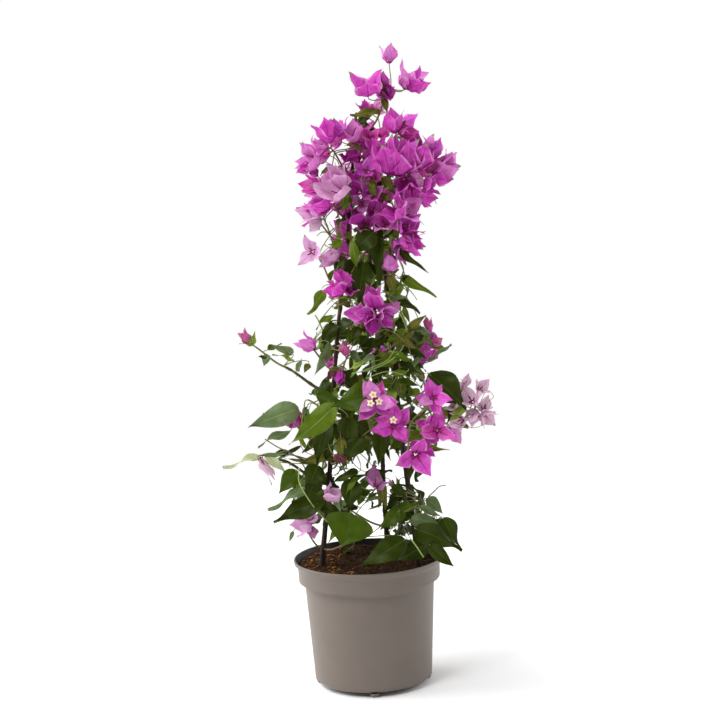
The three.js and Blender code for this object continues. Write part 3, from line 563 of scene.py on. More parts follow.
# A leaf is a heart-based oval with a drawn-out tip, folded a little along its pale midrib.
leafShape = {
    # rows of the blade from base to tip, and half its width at each; columns from edge to edge
    "rows": (0, 0.03, 0.09, 0.17, 0.26, 0.36, 0.47, 0.58, 0.68, 0.77, 0.85, 0.92, 1),
    "outline": (0.06, 0.44, 0.76, 0.95, 1, 0.97, 0.86, 0.68, 0.49, 0.31, 0.17, 0.08, 0.015),
    "columns": (-1, -0.7, -0.36, -0.035, 0.035, 0.36, 0.7, 1),
    "fold": 27, "twist": 34, "droop": 0.42, "wave": 0.1, "nerves": 6.5, "nerveRelief": 0.026,
    "cup": 0.12, "heart": 0.05, "sway": 0.16,
    "upturned": 0.15,  # the share of leaves that arch up
    # the dark and deep tones are leaf colour with painted shade of leaves inside the bush; the grey tone is
    # leaf colour with a painted sheen
    "dark": ("#293504", "#3e4c0b"), "deep": ("#374a06", "#4e6411"), "mid": ("#506710", "#718624"),
    "light": ("#7d9636", "#9bb052"), "grey": ("#586c40", "#84956a"), "olive": ("#5a5b1a", "#777433"),
    "pale": ("#b3bd8c", "#ccd2ac"), "midrib": ("#7d9150", "#97a86c"), "darkMidrib": ("#3c4f1e", "#4d6230"),
    "blotchWidth": 11,  # mm across a paler blotch between the side nerves
    "cellWidth": 2.4,   # mm across a cell between the finest nerves
}
leafTones = ("dark", "deep", "mid", "light", "grey", "olive", "pale")


# A living leaf: waxy skin with a soft gloss, thin enough that light from behind warms it.
def waxyLeaf(tree, place, colour, paler):
    _, tint = mottled(tree, place, leafShape["blotchWidth"], 3.0, 0.55, 0.35, 0.68, colour, paler, 0.5)
    return thinSheet(tree, place, tint, leafShape["cellWidth"], 0.4, 0.16, 0.25, 0.3, paler, 0.16)


def leafMaterials():
    return [makeMaterial(tone + "LeafSkin", waxyLeaf, *leafShape[tone])
            for tone in leafTones + ("midrib", "darkMidrib")]


# A blade from its base to its tip. The normal says which way its upper side looks.
def addLeaf(heap, base, tip, width, tone, normal, seed, curl=1):
    s = leafShape
    base, tip = Vector(base), Vector(tip)
    length = (tip - base).length
    along = (tip - base) / length
    square = normal - along * normal.dot(along)
    if square.length < 0.05:
        square = along.orthogonal()
    square.normalize()
    across = square.cross(along)
    u = np.array(s["rows"])[:, None]
    v = np.array(s["columns"])[None, :]
    half = np.interp(u, s["rows"], s["outline"]) * width / 2
    arching = 1 if chance(seed, 2) > s["upturned"] else -0.5
    bend = curl * s["droop"] * (0.3 + 1.1 * chance(seed, 1)) * arching
    fold = math.radians(s["fold"] * (0.35 + 1.3 * chance(seed, 3)))
    reach = half * np.abs(v)
    rise = reach * math.sin(fold) * (1 - 0.45 * np.abs(v)) - s["cup"] * half * v ** 2
    rise = rise + length * s["wave"] * np.sin(8 * u + 6 * chance(seed, 4) + 0.8 * v) * v * np.abs(v)
    nerve = np.sin(2 * np.pi * (s["nerves"] * u - 1.5 * np.abs(v)))
    rise = rise + length * s["nerveRelief"] * nerve * np.abs(v) * (1.2 - np.abs(v)) * (1 - u)
    spread = v * half * math.cos(fold)
    twist = np.radians(curl * s["twist"] * (2 * chance(seed, 6) - 1)) * (1.6 * u - 0.5)
    sideways = spread * np.cos(twist) - rise * np.sin(twist)
    sideways = sideways + width * s["sway"] * (chance(seed, 5) - 0.5) * np.sin(np.pi * u)
    upward = spread * np.sin(twist) + rise * np.cos(twist) - length * bend * (u ** 2 - 0.55 * u)
    heart = -s["heart"] * length * np.abs(v) * np.exp(-(u / 0.1) ** 2)
    axes = np.array([along, across, square])
    points = np.stack([u * length + heart, sideways, upward], -1) @ axes + np.array(base)
    tones = np.full((len(s["rows"]) - 1, len(s["columns"]) - 1), leafTones.index(tone))
    # leaves in the dark and deep tones, partly painted shade, take the darker midrib
    tones[:, 3] = len(leafTones) + (1 if tone in ("dark", "deep") else 0)
    addSheet(heap, points, tones)


# A blossom is three papery bracts about three slender tubes, some with an open cream star.
bractShape = {
    "rows": (0, 0.07, 0.15, 0.24, 0.34, 0.44, 0.54, 0.64, 0.73, 0.81, 0.88, 0.94, 1),
    "outlineAt": (0, 0.08, 0.18, 0.3, 0.42, 0.55, 0.68, 0.8, 0.9, 1),
    "outline": (0.36, 0.64, 0.88, 1, 0.98, 0.85, 0.61, 0.36, 0.16, 0.015),
    "columns": (-1, -0.78, -0.5, -0.2, -0.035, 0.035, 0.2, 0.5, 0.78, 1),
    "halfWidth": 0.4, "baseFlare": 34, "tipFlare": 35, "belly": 16, "wrap": 74, "ripple": 0.085,
    "nerves": 5.5, "nerveRelief": 0.014, "crease": 0.1, "sway": 0.12, "twist": 36, "starSlim": 0.17,
    "openSpread": 12,  # degrees by which a blossom's bracts differ in how far they open
    "slimBud": 0.26,   # width of a closed bract, as a share of an open one's
    "tubedFrom": 14,   # mm; a smaller bud hides its tubes
    "crinkle": 2.6,    # mm between the fine nerves
    "cloudWidth": 9,   # mm across a paler cloud
    # the deep kind is bract colour with painted shade deep in the crown, and the light kind bract colour
    # with a painted highlight
    "vivid": ("#cb3ab5", "#e066cd"), "light": ("#d872c9", "#e99cdc"), "deep": ("#a5248f", "#bc3fa9"),
    "violet": ("#bd41b5", "#d068c8"), "rose": ("#cc3ea2", "#da68bb"),
    "pale": ("#dca0d0", "#eabfe2"), "faded": ("#d8b2cc", "#ecd0e0"), "mauve": ("#a8609a", "#bf86b2"),
    "bud": ("#b8508a", "#cc7aa0"), "dry": ("#5f3238", "#764648"),
    # the throat colour is the crimson foot of a bract darkened further by painted shade
    "nerve": ("#a31a86", "#b42c98"), "paleNerve": ("#bf6fa8", "#cf8cbc"), "shadedThroat": ("#8c1466", "#a0207c"),
    "greenTip": ("#8a8a66", "#a3a084"), "tube": ("#8e2158", "#a94a72"), "petal": ("#f4ecc4", "#fdf8e2"),
    "eye": ("#cfa63a", "#e2c364"),
    # shares of the bracts that take the dealt kind, have paler edges with a painted highlight, and have a
    # greenish tip
    "dealtShare": 0.75, "edgeShare": 0.7, "greenShare": 0.45,
    # the kind whose colour a paler edge, partly a painted highlight, takes
    "paleHighlightEdges": {"vivid": "light", "deep": "violet", "violet": "light", "rose": "light"},
    "tubeRadii": (0.45, 0.6, 0.85, 0.8, 0.7, 0.75), "starRadius": 4.6,
    # a star's lobed rings, from its eye outwards: radius as a share, and height in mm
    "starRings": ((0.02, 0.5), (0.22, 0.5), (0.42, 0.55), (0.8, 1.0), (1.0, 0.75)),
}
bractKinds = ("vivid", "light", "deep", "pale", "faded", "mauve", "bud", "dry", "violet", "rose")
bractDetails = ("nerve", "paleNerve", "greenTip", "tube", "petal", "eye", "shadedThroat")
bractFinish = {name: number for number, name in enumerate(bractKinds + bractDetails)}
bractDeal = {"vivid": ("vivid", "vivid", "vivid", "violet", "rose"),
             "light": ("light", "light", "vivid", "light"), "deep": ("deep", "deep", "vivid", "violet")}


# A papery bract: matt and thin, crinkled between fine nerves, and lit through from behind.
def paperyBract(tree, place, colour, paler, glowShare):
    _, tint = mottled(tree, place, bractShape["cloudWidth"], 3.0, 0.6, 0.34, 0.66, colour, paler)
    return thinSheet(tree, place, tint, bractShape["crinkle"], 0.62, 0.25, 0.16, 0.2, tint, glowShare)


def bractMaterials():
    papers = [makeMaterial(kind + "Bract", paperyBract, *bractShape[kind], 0.3) for kind in bractKinds]
    return papers + [makeMaterial(detail + "OfBlossom", paperyBract, *bractShape[detail], 0.15)
                     for detail in bractDetails]


# The axes of a blossom: its own axis, then screen right and screen up as seen along it.
def blossomAxes(axis):
    guide = Vector((1, 0, 0)) if abs(axis.x) < 0.93 else Vector((0, -1, 0))
    right = (guide - axis * guide.dot(axis)).normalized()
    return right, axis.cross(right)


# One bract, in rows from its foot to its tip. It leans out as far as the blossom is open, wraps
# about the blossom's axis at its foot, and rolls back a little at its tip.
def bractPoints(seat, axis, spread, length, opening, number, draw):
    s = bractShape
    u = np.array(s["rows"])
    v = np.array(s["columns"])[None, :]
    openHere = opening + s["openSpread"] * (draw(3) - 0.5)
    tipFlare = s["tipFlare"] * (0.2 + 1.1 * draw(4))
    lean = np.radians(openHere + s["baseFlare"] * (1 - u) ** 3 + tipFlare * u ** 3
                      - s["belly"] * np.sin(np.pi * u))
    middle = (lean[1:] + lean[:-1]) / 2
    onward = np.concatenate([[0], np.cumsum(np.cos(middle) * np.diff(u))])[:, None] * length
    outward = np.concatenate([[0], np.cumsum(np.sin(middle) * np.diff(u))])[:, None] * length
    slim = s["slimBud"] if opening < 6 else 1 - s["starSlim"] * min(1, max(0, (opening - 36) / 24))
    broad = s["halfWidth"] * (0.9 + 0.2 * draw(5)) * slim
    half = np.interp(u, s["outlineAt"], s["outline"])[:, None] * length * broad
    rows, lean = u[:, None], lean[:, None]
    wrap = np.radians(max(16, s["wrap"] - openHere)) * (1.1 - 1.45 * rows)
    wrap = np.where(np.abs(wrap) < 0.02, 0.02, wrap)
    sideways = half * np.sin(wrap * v) / wrap
    inward = half * (1 - np.cos(wrap * v)) / wrap
    edge = v * np.abs(v) * np.sin(np.pi * rows ** 0.8)
    inward = inward + length * s["ripple"] * np.sin(10 * rows + 6 * draw(6) + v) * edge
    nerve = np.sin(2 * np.pi * (s["nerves"] * rows - 1.1 * np.abs(v)))
    inward = inward + length * s["nerveRelief"] * nerve * np.abs(v) * (1.1 - np.abs(v))
    crease = s["crease"] * half * (0.25 - np.exp(-(v / 0.16) ** 2)) * rows
    twist = np.radians(s["twist"] * (draw(10) - 0.5)) * rows ** 1.5
    across = sideways * np.cos(twist) - (inward + crease) * np.sin(twist)
    inward = sideways * np.sin(twist) + (inward + crease) * np.cos(twist)
    across = across + length * s["sway"] * (draw(7) - 0.5) * rows ** 2
    gap = 0.5 + 0.03 * length * (1 - opening / 90) + 0.3 * number
    axes = np.array([axis, spread, axis.cross(spread)])
    return np.stack([onward + inward * np.sin(lean), gap + outward - inward * np.cos(lean),
                     across + 0 * lean], -1) @ axes + np.array(seat)


# A bract's finishes, face by face: its colour, paler edges, partly a painted highlight, midrib, throat in
# painted shade and greenish tip.
def bractFinishes(kind, dealt, draw):
    s = bractShape
    own = dealt if draw(11) < s["dealtShare"] else kind
    finishes = np.full((len(s["rows"]) - 1, len(s["columns"]) - 1), bractFinish[own])
    # paler edges: the bract's own margin and a painted highlight
    if own in s["paleHighlightEdges"] and draw(13) < s["edgeShare"]:
        finishes[3:9, [0, -1]] = bractFinish[s["paleHighlightEdges"][own]]
    isPale = kind in ("light", "pale", "faded", "mauve")
    finishes[:, 4] = bractFinish["paleNerve" if isPale else "nerve"]
    # the rows at a bract's foot take the throat colour: painted shade in the throat
    finishes[0] = bractFinish["shadedThroat"]
    if kind in ("vivid", "deep", "light"):
        finishes[1, 3:6] = bractFinish["shadedThroat"]
    if draw(8) < s["greenShare"]:
        finishes[-2:, :] = bractFinish["greenTip"]
    return finishes


def addBlossom(heap, seat, size, axis, roll, opening, kind, stars, seed):
    right, lift = blossomAxes(axis)
    deal = bractDeal.get(kind, (kind,))
    dealt = deal[int(len(deal) * chance(seed, 12))]
    for number in range(3):
        draw = lambda place: chance(seed + 0.37 * number, place)
        turn = math.radians(roll + 120 * number + 18 * (draw(1) - 0.5))
        spread = right * math.cos(turn) + lift * math.sin(turn)
        length = size * (0.9 + 0.2 * draw(2))
        points = bractPoints(seat, axis, spread, length, opening, number, draw)
        addSheet(heap, points, bractFinishes(kind, dealt, draw))
        if size < bractShape["tubedFrom"]:
            continue
        reach = length * (0.24 + 0.06 * draw(9))
        lower = Vector(seat) + spread * (0.08 * length) + axis * (0.05 * length)
        top = lower + axis * reach + spread * (reach * (0.1 + 0.45 * math.sin(math.radians(opening))))
        places = [lower, lower + axis * (0.4 * reach), top - axis * (0.3 * reach), top]
        addTube(heap, bezierPath(places, 5), bractShape["tubeRadii"], 6, bractFinish["tube"])
        if number < stars:
            addStar(heap, top, (axis + spread * 0.25).normalized(), bractShape["starRadius"], 90 * draw(10))


def addStar(heap, seat, axis, radius, roll):
    right, lift = blossomAxes(axis)
    turns = np.radians(roll + np.arange(20) * 18)
    lobes = 0.78 + 0.22 * np.cos(5 * (turns - turns[0]))
    ring = np.outer(np.cos(turns), right) + np.outer(np.sin(turns), lift)
    points = [ring * (radius * share * (lobes[:, None] if share > 0.4 else 1))
              + np.array(axis) * (height + 0.25 * math.sin(share * 5)) + np.array(seat)
              for share, height in bractShape["starRings"]]
    finishes = np.full((4, 20), bractFinish["petal"])
    finishes[:2] = bractFinish["eye"]
    addSheet(heap, np.array(points), finishes, closed=True)


# Masses of blossom and leaves: name, what carries it, height on it, tip, the bearing it faces,
# blossoms (count, turn, fan, size), leaves (count, turn, size), more leaves, reach of its space.
masses = [
    ("top_blossom", "stem_right", 626, (45, -14, 664), -90, (4, 97, 23, 27), (1, 215, 22), 2, 56),
    ("upper_left_blossom", "stem_left", 578, (-20, -22, 606), -100, (4, 55, 17, 27), (1, 255, 26), 2, 52),
    ("pale_left_blossom", "stem_left", 528, (-31, -28, 562), -105, (3, 40, 15, 34), (1, 300, 28), 2, 56),
    ("left_tip_blossom", "stem_left", 498, (-44, -16, 534), -120, (2, 150, 11, 27), (1, 320, 28), 1, 50),
    ("upper_right_blossom", "stem_right", 572, (58, -28, 609), -80,
     (5, 115, 24, 31), (1, 250, 28), 2, 60),
    ("right_crown_blossom", "bough_upper_right", 0, (86, -10, 572), -70,
     (4, 10, 20, 32), (1, 290, 30), 2, 62),
    ("upper_heart_blossom", "stem_right", 532, (11, -38, 564), -95, (3, 80, 23, 27), (2, 250, 32), 1, 52),
    ("middle_heart_blossom", "stem_right", 480, (48, -34, 519), -80,
     (4, 120, 22, 29), (2, 270, 34), 2, 56),
    ("right_small_blossom", "stem_right", 440, (44, -30, 474), -75, (1, 95, 8, 26), (3, 330, 36), 2, 54),
    ("dark_upper_leaves", "stem_left", 462, (11, -28, 492), -95, (0, 0, 6, 0), (4, 280, 46), 2, 58),
    ("left_pair_blossom", "stem_left", 448, (-38, -16, 484), -110, (2, 165, 11, 26), (2, 20, 26), 1, 46),
    ("left_bright_blossom", "stem_left", 424, (-18, -36, 457), -100,
     (2, 70, 10, 30), (2, 215, 32), 1, 50),
    ("middle_blossom", "stem_left", 388, (12, -44, 427), -90, (4, 60, 23, 29), (1, 290, 36), 2, 60),
    ("middle_right_leaves", "stem_right", 408, (56, -16, 442), -65, (0, 0, 6, 0), (5, 340, 32), 2, 56),
    ("small_left_blossom", "stem_left", 362, (-52, -20, 388), -110,
     (1, 120, 12, 25), (4, 250, 30), 2, 50),
    ("far_left_spray", "bough_far_left", 0, (-122, -12, 396), -95, (1, 120, 7, 16), (0, 0, 17), 5, 52),
    ("right_pair_blossom", "stem_right", 352, (79, -16, 394), -75, (2, 95, 14, 23), (3, 320, 34), 2, 52),
    ("right_tangle", "stem_right", 332, (44, -34, 375), -85, (0, 0, 8, 0), (5, 15, 36), 3, 54),
    ("left_tangle", "stem_left", 340, (-14, -36, 377), -100, (1, 95, 10, 18), (5, 200, 34), 3, 52),
    ("star_blossom", "stem_right", 262, (52, -60, 305), -85, (5, 55, 36, 31), (3, 20, 34), 2, 76),
    ("faded_spray", "bough_right", 0, (124, -28, 318), -85, (6, 60, 18, 20), (1, 200, 26), 1, 50),
    ("right_leaves", "stem_right", 318, (84, -4, 340), -75, (0, 0, 5, 0), (2, 318, 48), 3, 58),
    ("left_core_leaves", "stem_left", 288, (-30, -56, 326), -95, (1, 200, 28, 14), (5, 10, 48), 3, 66),
    ("left_leaves", "stem_left", 272, (-84, -28, 312), -100, (0, 0, 5, 0), (4, 180, 50), 2, 62),
    ("low_left_spray", "bough_low_left", 0, (-114, -22, 260), -95, (1, 300, 14, 24), (3, 182, 36), 2, 56),
    ("lower_left_leaves", "stem_left", 198, (-74, -36, 232), -100, (0, 0, 8, 0), (6, 205, 46), 3, 62),
    ("front_core_leaves", "stem_left", 256, (-10, -60, 288), -90, (0, 0, 10, 0), (6, 260, 42), 3, 62),
    ("low_pair_blossom", "stem_left", 208, (-13, -56, 240), -90, (2, 12, 25, 25), (3, 210, 32), 1, 56),
    ("low_left_blossom", "stem_left", 160, (-70, -32, 188), -115, (1, 180, 6, 28), (2, 20, 30), 1, 48),
    ("front_leaves", "stem_left", 158, (-4, -60, 182), -90, (0, 0, 8, 0), (3, 300, 48), 2, 60),
    ("low_right_leaves", "stem_right", 160, (75, -42, 172), -80, (0, 0, 8, 0), (6, 315, 44), 3, 60),
    ("lower_right_leaves", "stem_right", 186, (62, -30, 204), -75, (0, 0, 8, 0), (5, 10, 34), 2, 54),
    ("left_side_blossom", "stem_left", 484, (-32, 26, 526), 160, (3, 80, 18, 27), (2, 240, 32), 2, 54),
    ("right_side_blossom", "stem_right", 424, (54, 26, 464), 15, (2, 60, 18, 27), (3, 200, 36), 2, 54),
    ("left_side_leaves", "stem_left", 214, (-74, 30, 254), 175, (0, 0, 8, 0), (5, 250, 44), 3, 60),
    ("right_side_leaves", "stem_right", 170, (80, 22, 186), 0, (0, 0, 8, 0), (4, 230, 40), 3, 60),
    ("back_top_blossom", "stem_back", 592, (34, 34, 622), 60, (4, 80, 22, 28), (2, 250, 30), 2, 54),
    ("back_left_blossom", "stem_back", 540, (-14, 42, 578), 125, (4, 40, 22, 28), (2, 280, 32), 2, 58),
    ("back_right_blossom", "bough_back_upper", 0, (70, 42, 553), 35,
     (4, 100, 22, 29), (2, 240, 34), 2, 58),
    ("back_heart_blossom", "stem_back", 462, (16, 58, 497), 95, (3, 20, 22, 28), (3, 270, 38), 2, 58),
    ("left_back_leaves", "stem_left", 384, (-48, 40, 418), 145, (1, 60, 16, 26), (4, 200, 38), 3, 58),
    ("right_back_leaves", "stem_back", 372, (70, 44, 402), 30, (2, 110, 18, 26), (4, 300, 38), 3, 58),
    ("back_middle_leaves", "stem_back", 342, (12, 74, 384), 95, (2, 70, 20, 27), (4, 230, 40), 3, 58),
    ("back_low_left_leaves", "bough_back_low_left", 0, (-62, 62, 318), 140,
     (2, 90, 22, 28), (5, 170, 44), 3, 62),
    ("back_low_right_leaves", "bough_back_low_right", 0, (88, 58, 300), 35,
     (2, 70, 22, 28), (5, 330, 44), 3, 62),
    ("back_core_leaves", "stem_back", 246, (12, 86, 280), 90, (1, 80, 20, 27), (5, 260, 44), 3, 62),
    ("back_foot_left_leaves", "stem_back", 168, (-42, 72, 196), 130, (0, 0, 8, 0), (5, 210, 44), 3, 60),
    ("back_foot_right_leaves", "stem_back", 152, (62, 72, 176), 50, (0, 0, 8, 0), (5, 320, 42), 2, 60),
]

# Blossoms that show in the photograph, by the mass they hang on: where the bracts join, their
# length, the way the blossom points on the picture and towards the viewer, the turn of its
# first bract, how far it is open, and its kind. All are real sizes and angles.
seenBlossoms = {
    "top_blossom": [
        (47, -20, 694, 22, 92, 6, 60, 15, "light"), (22, -30, 660, 31, 92, 28, 32, 28, "vivid"),
        (36, -22, 660, 28, 90, 6, 60, 8, "light"), (47, -26, 656, 20, 104, 34, 95, 24, "deep"),
        (41, -18, 655, 24, 92, 5, 0, 14, "vivid"), (62, -24, 666, 30, 58, 20, 150, 32, "light"),
        (65, -30, 666, 28, 26, 22, 250, 18, "vivid"), (18, -8, 643, 14, 94, 20, 60, 24, "deep"),
        (27, -4, 642, 15, 80, 25, 20, 28, "rose"),
    ],
    "upper_left_blossom": [
        (-20, -34, 612, 32, 113, 20, 88, 14, "vivid"), (-25, -28, 608, 19, 140, 30, 20, 28, "light"),
        (-10, -26, 618, 25, 91, 8, 3, 22, "vivid"), (5, -28, 611, 25, 94, 20, 80, 20, "light"),
        (12, -22, 611, 23, 88, 16, 0, 18, "vivid"), (-33, -30, 590, 30, 160, 24, 176, 26, "light"),
        (-39, -24, 599, 23, 118, 15, 20, 18, "light"), (-43, -26, 590, 19, 203, 20, 40, 7, "light"),
        (13, -16, 592, 22, 100, 60, 30, 52, "vivid"), (2, -14, 592, 18, 110, 34, 60, 30, "deep"),
    ],
    "pale_left_blossom": [
        (-8, -44, 556, 42, 138, 36, 176, 32, "pale"), (-7, -46, 563, 33, 112, 30, 262, 14, "pale"),
        (-32, -36, 565, 25, 168, 14, 60, 20, "vivid"), (-23, -36, 544, 31, 158, 22, 170, 22, "vivid"),
        (-24, -34, 542, 18, 188, 20, 40, 20, "deep"), (-36, -28, 577, 15, 140, 20, 90, 14, "violet"),
    ],
    "left_tip_blossom": [
        (-33, -28, 535, 31, 172, 20, 172, 20, "pale"), (-34, -26, 529, 20, 196, 20, 30, 18, "faded"),
        (-38, -22, 540, 18, 158, 22, 20, 18, "vivid"),
    ],
    "upper_right_blossom": [
        (50, -36, 619, 29, 92, 12, 88, 18, "vivid"), (53, -34, 619, 22, 8, 16, 170, 10, "vivid"),
        (44, -50, 575, 43, 103, 16, 265, 14, "vivid"), (52, -44, 573, 44, 90, 26, 150, 24, "vivid"),
        (62, -42, 575, 41, 82, 16, 20, 14, "light"), (73, -38, 579, 36, 72, 20, 265, 16, "vivid"),
        (88, -30, 589, 27, 84, 14, 178, 20, "vivid"), (30, -34, 598, 23, 96, 36, 30, 30, "vivid"),
        (57, -40, 569, 23, 280, 50, 250, 44, "deep"), (36, -26, 614, 17, 90, 25, 60, 26, "rose"),
        (24, -30, 614, 16, 96, 50, 20, 34, "rose"), (44, -20, 593, 27, 90, 20, 60, 30, "deep"),
        (82, -26, 591, 30, 92, 18, 40, 22, "light"), (68, -26, 600, 20, 84, 20, 60, 24, "deep"),
    ],
    "right_crown_blossom": [
        (90, -28, 576, 31, 16, 16, 265, 14, "light"), (88, -26, 571, 27, 2, 16, 150, 18, "vivid"),
        (100, -20, 579, 23, 60, 10, 30, 9, "light"), (78, -34, 561, 22, 4, 30, 60, 24, "vivid"),
        (71, -32, 550, 23, 352, 20, 178, 20, "vivid"), (65, -44, 562, 23, 268, 46, 30, 36, "deep"),
        (82, -24, 576, 25, 40, 16, 60, 20, "vivid"),
    ],
    "upper_heart_blossom": [
        (17, -40, 579, 20, 92, 50, 172, 40, "violet"), (9, -36, 558, 20, 100, 50, 20, 40, "deep"),
        (20, -42, 551, 20, 80, 46, 150, 38, "vivid"), (10, -40, 545, 17, 95, 60, 30, 52, "mauve"),
        (4, -34, 523, 25, 100, 24, 170, 24, "deep"), (25, -20, 568, 23, 88, 40, 60, 36, "vivid"),
        (10, -16, 570, 21, 110, 40, 60, 40, "deep"), (21, -30, 533, 23, 80, 40, 60, 36, "vivid"),
        (14, -30, 521, 19, 100, 50, 20, 44, "vivid"),
    ],
    "middle_heart_blossom": [
        (55, -48, 531, 27, 140, 26, 176, 30, "vivid"), (53, -46, 533, 27, 26, 34, 174, 34, "light"),
        (51, -42, 519, 25, 350, 44, 40, 38, "vivid"), (43, -38, 533, 23, 205, 50, 200, 44, "deep"),
        (55, -38, 510, 27, 322, 34, 176, 28, "vivid"), (48, -36, 504, 31, 345, 14, 175, 14, "light"),
        (36, -36, 520, 23, 120, 44, 120, 44, "light"), (58, -30, 525, 17, 62, 20, 30, 22, "vivid"),
        (44, -32, 504, 22, 290, 30, 60, 24, "vivid"), (41, -26, 547, 23, 120, 36, 60, 40, "deep"),
        (59, -34, 514, 16, 20, 40, 60, 30, "vivid"),
    ],
    "right_small_blossom": [
        (40, -38, 469, 28, 93, 10, 5, 16, "light"),
    ],
    "left_pair_blossom": [
        (-45, -26, 495, 22, 172, 62, 112, 50, "pale"), (-16, -28, 490, 22, 172, 22, 178, 22, "pale"),
        (-22, -24, 489, 20, 205, 18, 30, 16, "pale"), (-13, -26, 489, 15, 150, 40, 40, 36, "light"),
    ],
    "left_bright_blossom": [
        (-12, -46, 452, 28, 146, 28, 176, 26, "vivid"), (-10, -40, 454, 26, 86, 22, 10, 18, "light"),
        (-15, -38, 453, 23, 112, 34, 60, 26, "vivid"), (-10, -44, 450, 19, 60, 40, 80, 28, "deep"),
    ],
    "middle_blossom": [
        (21, -50, 432, 30, 100, 20, 4, 16, "vivid"), (18, -60, 427, 21, 176, 40, 178, 34, "violet"),
        (25, -54, 428, 22, 334, 40, 30, 34, "light"), (14, -56, 422, 20, 262, 50, 40, 44, "deep"),
        (31, -46, 425, 19, 70, 40, 150, 38, "violet"), (7, -46, 426, 21, 160, 46, 175, 40, "deep"),
        (22, -58, 422, 19, 300, 56, 100, 48, "deep"),
    ],
    "small_left_blossom": [
        (-47, -34, 389, 24, 142, 10, 30, 12, "light"),
    ],
    "left_tangle": [
        (-15, -44, 381, 18, 88, 8, 10, 14, "bud"), (-28, -40, 364, 14, 250, 30, 90, 34, "dry"),
        (-22, -44, 366, 18, 272, 20, 20, 14, "deep"), (-31, -42, 370, 14, 104, 20, 20, 18, "rose"),
    ],
    "right_pair_blossom": [
        (77, -24, 404, 14, 86, 8, 10, 12, "bud"), (81, -24, 386, 14, 40, 20, 175, 30, "bud"),
        (71, -30, 367, 23, 100, 16, 175, 16, "vivid"), (76, -26, 368, 20, 66, 10, 30, 14, "vivid"),
    ],
    "far_left_spray": [
        (-120, -16, 397, 19, 122, 10, 30, 11, "bud"),
    ],
    "star_blossom": [
        (14, -86, 337, 25, 95, 80, 93, 66, "light", 3), (15, -80, 334, 28, 95, 80, 110, 70, "light"),
        (16, -73, 333, 25, 95, 74, 58, 64, "vivid"), (33, -86, 308, 25, 100, 78, 78, 66, "vivid", 1),
        (37, -78, 307, 27, 70, 70, 48, 62, "vivid"), (77, -80, 336, 23, 92, 60, 98, 60, "light"),
        (77, -74, 332, 21, 100, 60, 180, 60, "light"), (80, -82, 301, 25, 70, 64, 80, 60, "vivid"),
        (80, -76, 299, 20, 40, 60, 350, 60, "deep"), (71, -74, 304, 16, 140, 50, 30, 40, "vivid"),
        (56, -80, 275, 27, 300, 76, 308, 50, "vivid"), (63, -72, 280, 20, 60, 60, 60, 50, "deep"),
    ],
    "faded_spray": [
        (111, -30, 331, 17, 120, 30, 90, 32, "faded"), (129, -26, 332, 19, 44, 26, 60, 32, "faded"),
        (122, -36, 322, 21, 112, 40, 120, 40, "faded"), (116, -28, 339, 14, 90, 30, 60, 26, "faded"),
        (106, -34, 318, 16, 150, 30, 90, 30, "faded"), (112, -34, 304, 22, 196, 32, 220, 34, "faded"),
        (126, -30, 310, 19, 268, 30, 240, 32, "faded"), (133, -28, 309, 22, 318, 28, 290, 30, "faded"),
        (120, -26, 312, 17, 290, 40, 200, 36, "faded"), (135, -28, 311, 17, 84, 30, 60, 30, "faded"),
    ],
    "low_pair_blossom": [
        (11, -60, 236, 24, 72, 25, 100, 38, "mauve"), (-43, -56, 224, 25, 52, 20, 30, 26, "pale"),
    ],
    "low_left_blossom": [
        (-61, -44, 196, 26, 190, 30, 180, 20, "pale"), (-60, -42, 197, 16, 110, 40, 40, 30, "pale"),
        (-61, -40, 192, 15, 270, 40, 40, 30, "mauve"),
    ],
    "low_left_spray": [
        (-116, -30, 270, 34, 304, 6, 30, 3, "faded"),
    ],
    "left_core_leaves": [
        (-80, -48, 308, 12, 60, 40, 60, 46, "vivid"), (-32, -66, 276, 17, 322, 14, 60, 12, "dry"),
    ],
}

# Blossoms inside the crown, between its front and its back, laid out in the same way.
innerBlossoms = {
    "left_side_blossom": [
        (-22, 4, 598, 26, 160, -5, 30, 34, "vivid"), (-30, 10, 566, 27, 185, 5, 90, 36, "light"),
        (-8, -7, 612, 25, 165, 8, 40, 38, "vivid"), (-14, -8, 580, 26, 182, 5, 80, 36, "light"),
        (-12, -9, 552, 26, 178, 5, 20, 40, "vivid"), (2, -6, 530, 24, 160, 5, 60, 38, "deep"),
        (-2, -2, 492, 22, 178, -6, 30, 40, "vivid"),
    ],
    "right_side_blossom": [
        (46, 8, 496, 27, 335, 0, 20, 36, "vivid"), (40, 14, 522, 26, 10, -10, 70, 34, "deep"),
    ],
    "back_top_blossom": [
        (38, 6, 626, 24, 30, -10, 60, 32, "vivid"), (-2, 10, 618, 24, 150, -12, 20, 34, "rose"),
        (16, 12, 604, 25, 95, 10, 60, 40, "deep"),
    ],
    "back_right_blossom": [
        (56, 6, 602, 28, 15, 5, 40, 34, "vivid"), (62, 12, 570, 27, 345, -8, 10, 36, "light"),
        (54, 8, 546, 27, 0, 10, 80, 36, "vivid"),
    ],
    "back_left_blossom": [
        (-4, 22, 545, 27, 190, -20, 40, 36, "deep"), (4, 16, 566, 26, 120, 8, 90, 42, "deep"),
    ],
}

